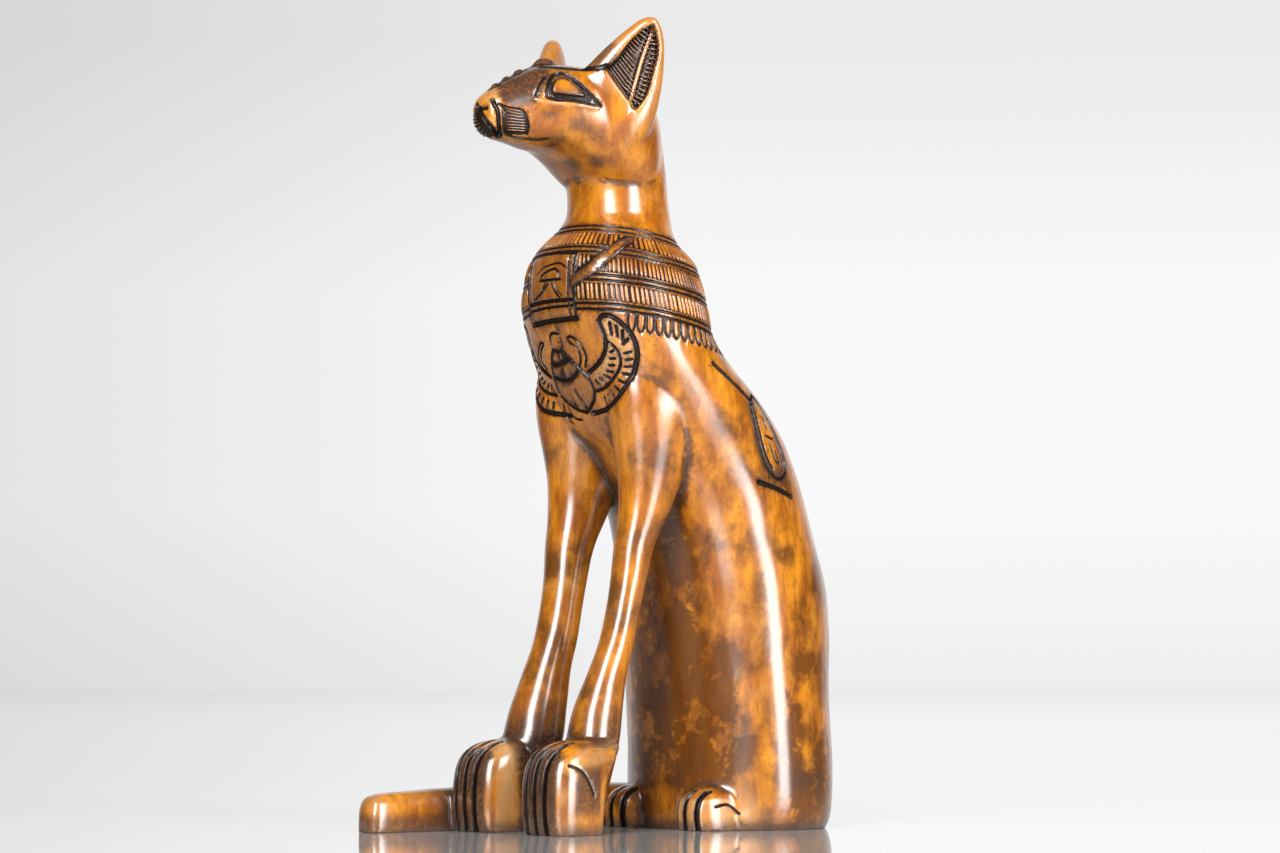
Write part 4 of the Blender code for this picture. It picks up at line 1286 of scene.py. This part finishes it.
# Each pattern's width and height on the stone in millimetres, its detail, and its place in the noise.
STREAKS = (6.0, 17.0, 4.0, 0.0)
FINE_STREAKS = (1.3, 9.0, 3.0, 7.0)
CLOUDS = (18.0, 18.0, 4.0, 3.0)
DARK_CLOUDS = (14.4, 14.4, 6.0, 9.0)
MOTTLES = (4.0, 4.0, 6.0, 11.0)
SPECKS = (1.6, 1.6, 2.0, 5.0)
# Real grains are a tenth of this, too fine to show in the render.
GRAIN = (0.8, 0.8, 2.0, 1.0)

# %% Patterns in the stone
# The coordinates are metres, so a scale of 1000 gives a pattern of one millimetre.
stone = bpy.data.materials.new("stained_waxed_soapstone")
stone.use_nodes = True
shade = stone.node_tree
surface = shade.nodes["Principled BSDF"]
place = node(shade, "ShaderNodeTexCoord").outputs["Object"]
patterns = []
for wide, tall, detail, start in (STREAKS, FINE_STREAKS, CLOUDS, DARK_CLOUDS, MOTTLES, SPECKS, GRAIN):
    scaled = node(shade, "ShaderNodeMapping", {"Vector": place, "Rotation": (0.7, 0.5, 0.3),
                                               "Scale": (1000 / wide, 1000 / wide, 1000 / tall),
                                               "Location": (start, start * 1.7, start * 0.6)})
    pattern = node(shade, "ShaderNodeTexNoise", {"Vector": scaled, "Scale": 1.0, "Detail": detail,
                                                 "Roughness": 0.62, "Distortion": 0.25})
    patterns.append(pattern)
streaks, fine_streaks, clouds, dark_clouds, mottles, specks, grain = patterns
patina_and_shade_mark, stain_and_shade_mark, worn_and_highlight_mark, deep_mark = (
    node(shade, "ShaderNodeAttribute", attribute_name=name).outputs["Fac"]
    for name in ("patina", "stain", "worn", "deep_stain"))
print("nodes for the patterns:", len(shade.nodes))

# %% Where each colour lies
# A Map Range node pulls a pattern apart, so that a colour is absent below one level and full above another.
in_amber = node(shade, "ShaderNodeMapRange", {0: streaks, 1: 0.34, 2: 0.60})
in_fine_streaks = node(shade, "ShaderNodeMapRange", {0: fine_streaks, 1: 0.50, 2: 0.72, 4: 0.4})
in_cream = node(shade, "ShaderNodeMapRange", {0: clouds, 1: 0.56, 2: 0.74, 4: 0.3})
in_specks = node(shade, "ShaderNodeMapRange", {0: specks, 1: 0.64, 2: 0.72, 4: 0.6})

# Dark clouds spread low on the figure, and in mottles where the skin has its mark of deep stain and painted
# shade.
above_floor = node(shade, "ShaderNodeSeparateXYZ", {0: place}).outputs[2]
low_down = node(shade, "ShaderNodeMapRange", {0: above_floor, 1: 160 * MM, 2: 90 * MM, 4: 0.14})
in_mottles = node(shade, "ShaderNodeMapRange", {0: mottles, 1: 0.34, 2: 0.60, 4: 0.38})
deep = node(shade, "ShaderNodeMath", {0: deep_mark, 1: in_mottles}, operation="MULTIPLY")
spread = node(shade, "ShaderNodeMath", {0: dark_clouds, 1: low_down}, operation="ADD")
spread = node(shade, "ShaderNodeMath", {0: spread, 1: deep}, operation="ADD")
in_clouds = node(shade, "ShaderNodeMapRange", {0: spread, 1: 0.60, 2: 0.76, 4: 0.85})

# Rubbed stone and the painted highlight show in streaks, stain and painted shade in grains, and the edge of
# the patina and painted shade is ragged.
rubbed_streaks = node(shade, "ShaderNodeMapRange", {0: streaks, 1: 0.3, 2: 0.6, 4: 0.8})
rubbed_and_highlight = node(shade, "ShaderNodeMath", {0: worn_and_highlight_mark, 1: rubbed_streaks}, operation="MULTIPLY")
grainy = node(shade, "ShaderNodeMapRange", {0: grain, 1: 0.3, 2: 0.6, 3: 0.65, 4: 1.0})
soaked_and_shaded = node(shade, "ShaderNodeMath", {0: stain_and_shade_mark, 1: grainy}, operation="MULTIPLY")
ragged = node(shade, "ShaderNodeMapRange", {0: grain, 1: 0.3, 2: 0.7, 4: 0.35})
ragged = node(shade, "ShaderNodeMath", {0: patina_and_shade_mark, 1: ragged}, operation="ADD")
in_cuts_and_shade = node(shade, "ShaderNodeMapRange", {0: ragged, 1: 0.35, 2: 0.95})

# %% Colours laid over each other
colour = HONEY
for share, over in ((in_amber, AMBER), (in_fine_streaks, DEEP_BROWN), (in_cream, CREAM),
                    (in_clouds, DEEP_BROWN), (in_specks, DEEP_BROWN), (rubbed_and_highlight, RUBBED_AND_HIGHLIGHT),
                    (soaked_and_shaded, PURPLE_BROWN), (in_cuts_and_shade, BLACK_BROWN)):
    colour = node(shade, "ShaderNodeMix", {0: share, 6: colour, 7: over}, data_type="RGBA").outputs[2]
shade.links.new(colour, surface.inputs["Base Color"])

# %% Gloss and fine relief
# Wax lies thick on the open stone and thin in the dark cuts, which stay duller.
rough = node(shade, "ShaderNodeMapRange", {0: in_cuts_and_shade, 1: 0.0, 2: 1.0, 3: 0.36, 4: 0.6})
waxed = node(shade, "ShaderNodeMapRange", {0: in_cuts_and_shade, 1: 0.0, 2: 1.0, 3: 1.0, 4: 0.3})
shade.links.new(rough.outputs[0], surface.inputs["Roughness"])
shade.links.new(waxed.outputs[0], surface.inputs["Coat Weight"])
surface.inputs["IOR"].default_value = 1.55
surface.inputs["Specular IOR Level"].default_value = 0.05
surface.inputs["Coat Roughness"].default_value = 0.22
surface.inputs["Coat IOR"].default_value = 1.8
pits = node(shade, "ShaderNodeMapRange", {0: specks, 1: 0.68, 2: 0.76})
fine_grain = node(shade, "ShaderNodeMath", {0: grain, 1: 0.35}, operation="MULTIPLY")
relief = node(shade, "ShaderNodeMath", {0: fine_grain, 1: pits}, operation="SUBTRACT")
bump = node(shade, "ShaderNodeBump", {"Height": relief, "Strength": 0.25, "Distance": 0.2 * MM})
shade.links.new(bump.outputs[0], surface.inputs["Normal"])
figure.materials.clear()
figure.materials.append(stone)
print("nodes in the stone:", len(shade.nodes))

# %% [markdown]
# ## Guides and their rows
#
# Each row needs two guides: the lines just inside the collar's cuts, the middle rib and the rims of an ear,
# the front and the back of a whisker pad. A guide is given as points on the skin and becomes one spline of a
# curve. Both guides of a row are one object, which the tree reads as its geometry.

# %% A row of laths from two guides
def guide_curve(name, lines):
    """A curve object with one spline for each line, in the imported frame."""
    curve = bpy.data.curves.new(name, "CURVE")
    curve.dimensions = "3D"
    for line in lines:
        spline = curve.splines.new("POLY")
        spline.points.add(len(line) - 1)
        for point, place_in_frame in zip(spline.points, in_frame(line)):
            point.co = (*place_in_frame, 1.0)
    guide = bpy.data.objects.new(name, curve)
    bpy.context.scene.collection.objects.link(guide)
    return guide


def row_of_laths(name, lines, pitch, width, lift, wander, stained, seed):
    """A plain mesh of laths between two guides, in the stone's finish. Sizes are in millimetres."""
    guide = guide_curve(name + "_guides", lines)
    rows_modifier = guide.modifiers.new("laths", "NODES")
    rows_modifier.node_group = tree
    wanted = {"Stone": cat, "Pitch": pitch * MM, "Width": width * MM, "Lift": lift * MM, "Wander": wander,
              "Stain": stained, "Seed": seed, "Finish": stone}
    for item in tree.interface.items_tree:
        if item.in_out == "INPUT" and item.name in wanted:
            rows_modifier[item.identifier] = wanted[item.name]
    bpy.context.view_layer.update()
    graph = bpy.context.evaluated_depsgraph_get()
    mesh = bpy.data.meshes.new_from_object(guide.evaluated_get(graph), depsgraph=graph)
    guide.modifiers.clear()
    bpy.data.objects.remove(guide)
    mesh.shade_smooth()
    row = bpy.data.objects.new(name, mesh)
    bpy.context.scene.collection.objects.link(row)
    mesh.calc_loop_triangles()
    print(name, "triangles:", len(mesh.loop_triangles))
    return row


# %% Collar rows
# The laths are sunk a little, so that only their round backs stand out of the floor.
COLLAR_PITCHES = (1.6, 1.4, 1.6)
rows = []
for number, pitch in enumerate(COLLAR_PITCHES):
    guides = (round_neck(COLLAR[number] - BEAD_ROOM), round_neck(COLLAR[number + 1] + BEAD_ROOM))
    rows.append(row_of_laths(f"collar_row_{number + 1}", guides, pitch, width=0.84 * pitch, lift=-0.2,
                             wander=0.1, stained=0.15, seed=number))

# %% Ears: hair in two panels on each side of the middle rib
EAR_RIB = ((22.7, 29.8, 223.1), (22.3, 32.7, 231.4), (23.6, 34.2, 238.0), (27.3, 35.0, 245.5))
EAR_FRONT_RIM = ((16.8, 24.2, 234.0), (18.6, 26.6, 236.7), (22.6, 28.9, 241.7), (25.6, 32.4, 246.4))
EAR_REAR_RIM = ((24.0, 31.4, 221.0), (24.6, 35.2, 225.7), (26.6, 36.0, 231.9), (27.9, 37.2, 239.5),
                (27.9, 36.4, 246.2))
for side, name in ((-1, "right"), (1, "left")):
    rib, front_rim, rear_rim = (smooth_rows(line, LINE_STEP, 3) * (side, 1, 1)
                                for line in (EAR_RIB, EAR_FRONT_RIM, EAR_REAR_RIM))
    rows.append(row_of_laths(f"ear_front_{name}", (rib, front_rim), 1.2, width=0.72, lift=0.0,
                             wander=0.1, stained=0.9, seed=7))
    rows.append(row_of_laths(f"ear_rear_{name}", (rib, rear_rim), 1.45, width=0.85, lift=0.0,
                             wander=0.1, stained=0.9, seed=8))

# %% Whisker pads
# The groove under the nose lies a little to the cat's left, so the right pad starts at it.
PAD_FRONT = ((-7.0, 220.4), (-6.6, 216.4), (-4.8, 212.9))
PAD_BACK = ((-1.7, 219.2), (0.5, 215.6), (1.4, 212.9))
left_front = onto_skin(smooth_rows(PAD_FRONT, LINE_STEP), "left")
left_back = onto_skin(smooth_rows(PAD_BACK, LINE_STEP), "left")
right_front = np.array(((-2.2, -11.0, 219.6), (0.4, -10.6, 216.0), (1.4, -8.6, 212.6)))
right_back = onto_skin(smooth_rows(PAD_FRONT, LINE_STEP), "right")
rows.append(row_of_laths("whiskers_left", (left_front, left_back), 1.0, width=0.6, lift=0.05,
                         wander=0.08, stained=0.7, seed=11))
rows.append(row_of_laths("whiskers_right", (right_front, right_back), 1.0, width=0.6, lift=0.05,
                         wander=0.08, stained=0.8, seed=12))

# %% [markdown]
# ## Floor
#
# The figure stands on a glossy white sheet that mirrors its feet. The sheet is so large that its far edge is
# the horizon, where its colour meets that of the background. It lies a tenth of a millimetre under the feet,
# because two surfaces at the same height would flicker.

# %% A white acrylic sheet
# Polished acrylic has a hard gloss that mirrors what stands on it. A light grey base is bright enough here,
# because the bright room behind is mirrored in it as well.
FLOOR_RADIUS = 40.0
FLOOR_GAP = 0.1 * MM
floor_mesh = bpy.data.meshes.new("floor")
work = bmesh.new()
bmesh.ops.create_circle(work, cap_ends=True, segments=96, radius=FLOOR_RADIUS)
for vertex in work.verts:
    vertex.co.z = -FLOOR_GAP
work.to_mesh(floor_mesh)
work.free()
floor = bpy.data.objects.new("floor", floor_mesh)
bpy.context.scene.collection.objects.link(floor)
table = bpy.data.materials.new("white_acrylic_sheet")
table.use_nodes = True
table_shader = table.node_tree.nodes["Principled BSDF"]
table_shader.inputs["Base Color"].default_value = linear("B4B4B2")
table_shader.inputs["Roughness"].default_value = 0.05
floor_mesh.materials.append(table)
print("floor radius in m:", FLOOR_RADIUS)

# %% [markdown]
# ## Lights
#
# Waxed stone shows its lights as gleams, so each light is placed for its gleam. A tall window a little to
# the camera's left draws the broad gleams down the neck and the legs. A tall strip beside the cat draws the
# long one down its flank, and reaches low enough for that gleam to run to the floor.

# %% Two tall soft lights
def soft_light(name, azimuth, elevation, distance, width, height, watts):
    """A rectangular light at an angle round the cat from its front, aimed at its middle."""
    data = bpy.data.lights.new(name, "AREA")
    data.shape = "RECTANGLE"
    data.size = width
    data.size_y = height
    data.energy = watts
    lamp = bpy.data.objects.new(name, data)
    round_cat, above = math.radians(azimuth), math.radians(elevation)
    level_way = Vector((math.sin(round_cat), -math.cos(round_cat), 0))
    way = level_way * math.cos(above) + Vector((0, 0, math.sin(above)))
    lamp.location = Vector((0, 0, 120 * MM)) + way * distance
    lamp.rotation_euler = (-way).to_track_quat("-Z", "Y").to_euler()
    bpy.context.scene.collection.objects.link(lamp)
    print(name, "stands at", [round(c, 2) for c in lamp.location])


soft_light("front_window", 34, 26, distance=1.6, width=0.56, height=1.3, watts=38)
soft_light("side_strip", 98, 15, distance=1.5, width=0.56, height=1.4, watts=34)

# %% [markdown]
# ## The pale room
#
# In the photograph the background is an even pale sheet, a little greyer on the left, above and below. A
# backdrop as bright as that all round would wash the stone out, so the world has two strengths: the camera
# sees the sheet at full strength, and the stone sees a dim room that is bright only behind the figure, where
# it puts a thin pale rim on the back.

# %% A world with two strengths
BEHIND_CAT = (-0.79, 0.62, 0.0)
RIGHT_OF_VIEW = (0.62, 0.79, 0.0)
world = bpy.data.worlds.new("pale room")
world.use_nodes = True
room = world.node_tree
way = node(room, "ShaderNodeTexCoord").outputs["Generated"]
across_view = node(room, "ShaderNodeVectorMath", {0: way, 1: RIGHT_OF_VIEW}, operation="DOT_PRODUCT")
from_left = node(room, "ShaderNodeMapRange", {0: across_view.outputs["Value"], 1: -0.2, 2: 0.0})
sheet = node(room, "ShaderNodeMix", {0: from_left, 6: linear("E0E1E2"), 7: linear("F9F9F9")},
             data_type="RGBA")

upward = node(room, "ShaderNodeSeparateXYZ", {0: way}).outputs[2]
off_middle = node(room, "ShaderNodeMath", {0: upward, 1: 0.08}, operation="SUBTRACT")
off_middle = node(room, "ShaderNodeMath", {0: off_middle}, operation="ABSOLUTE")
towards_edge = node(room, "ShaderNodeMapRange", {0: off_middle, 1: 0.03, 2: 0.10, 4: 0.16})
sheet = node(room, "ShaderNodeMix", {0: towards_edge, 6: sheet.outputs[2], 7: linear("707276")},
             data_type="RGBA")

beyond = node(room, "ShaderNodeVectorMath", {0: way, 1: BEHIND_CAT}, operation="DOT_PRODUCT")
glow = node(room, "ShaderNodeMapRange", {0: beyond.outputs["Value"], 1: 0.50, 2: 0.90, 3: 0.07, 4: 1.11},
            interpolation_type="SMOOTHSTEP")
seen = node(room, "ShaderNodeLightPath").outputs["Is Camera Ray"]
strength = node(room, "ShaderNodeMix", {0: seen, 2: glow, 3: 1.0}, data_type="FLOAT")
room.links.new(sheet.outputs[2], room.nodes["Background"].inputs["Color"])
room.links.new(strength.outputs[0], room.nodes["Background"].inputs["Strength"])
bpy.context.scene.world = world
print("nodes in the room:", len(room.nodes))

# %% [markdown]
# ## Riding on the body
#
# The figure and its rows of laths ride on the one body and stand for the imported solid.

# %% Ride and replace
for piece in [cat] + rows:
    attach(piece, "root")
    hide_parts("cat_figure")
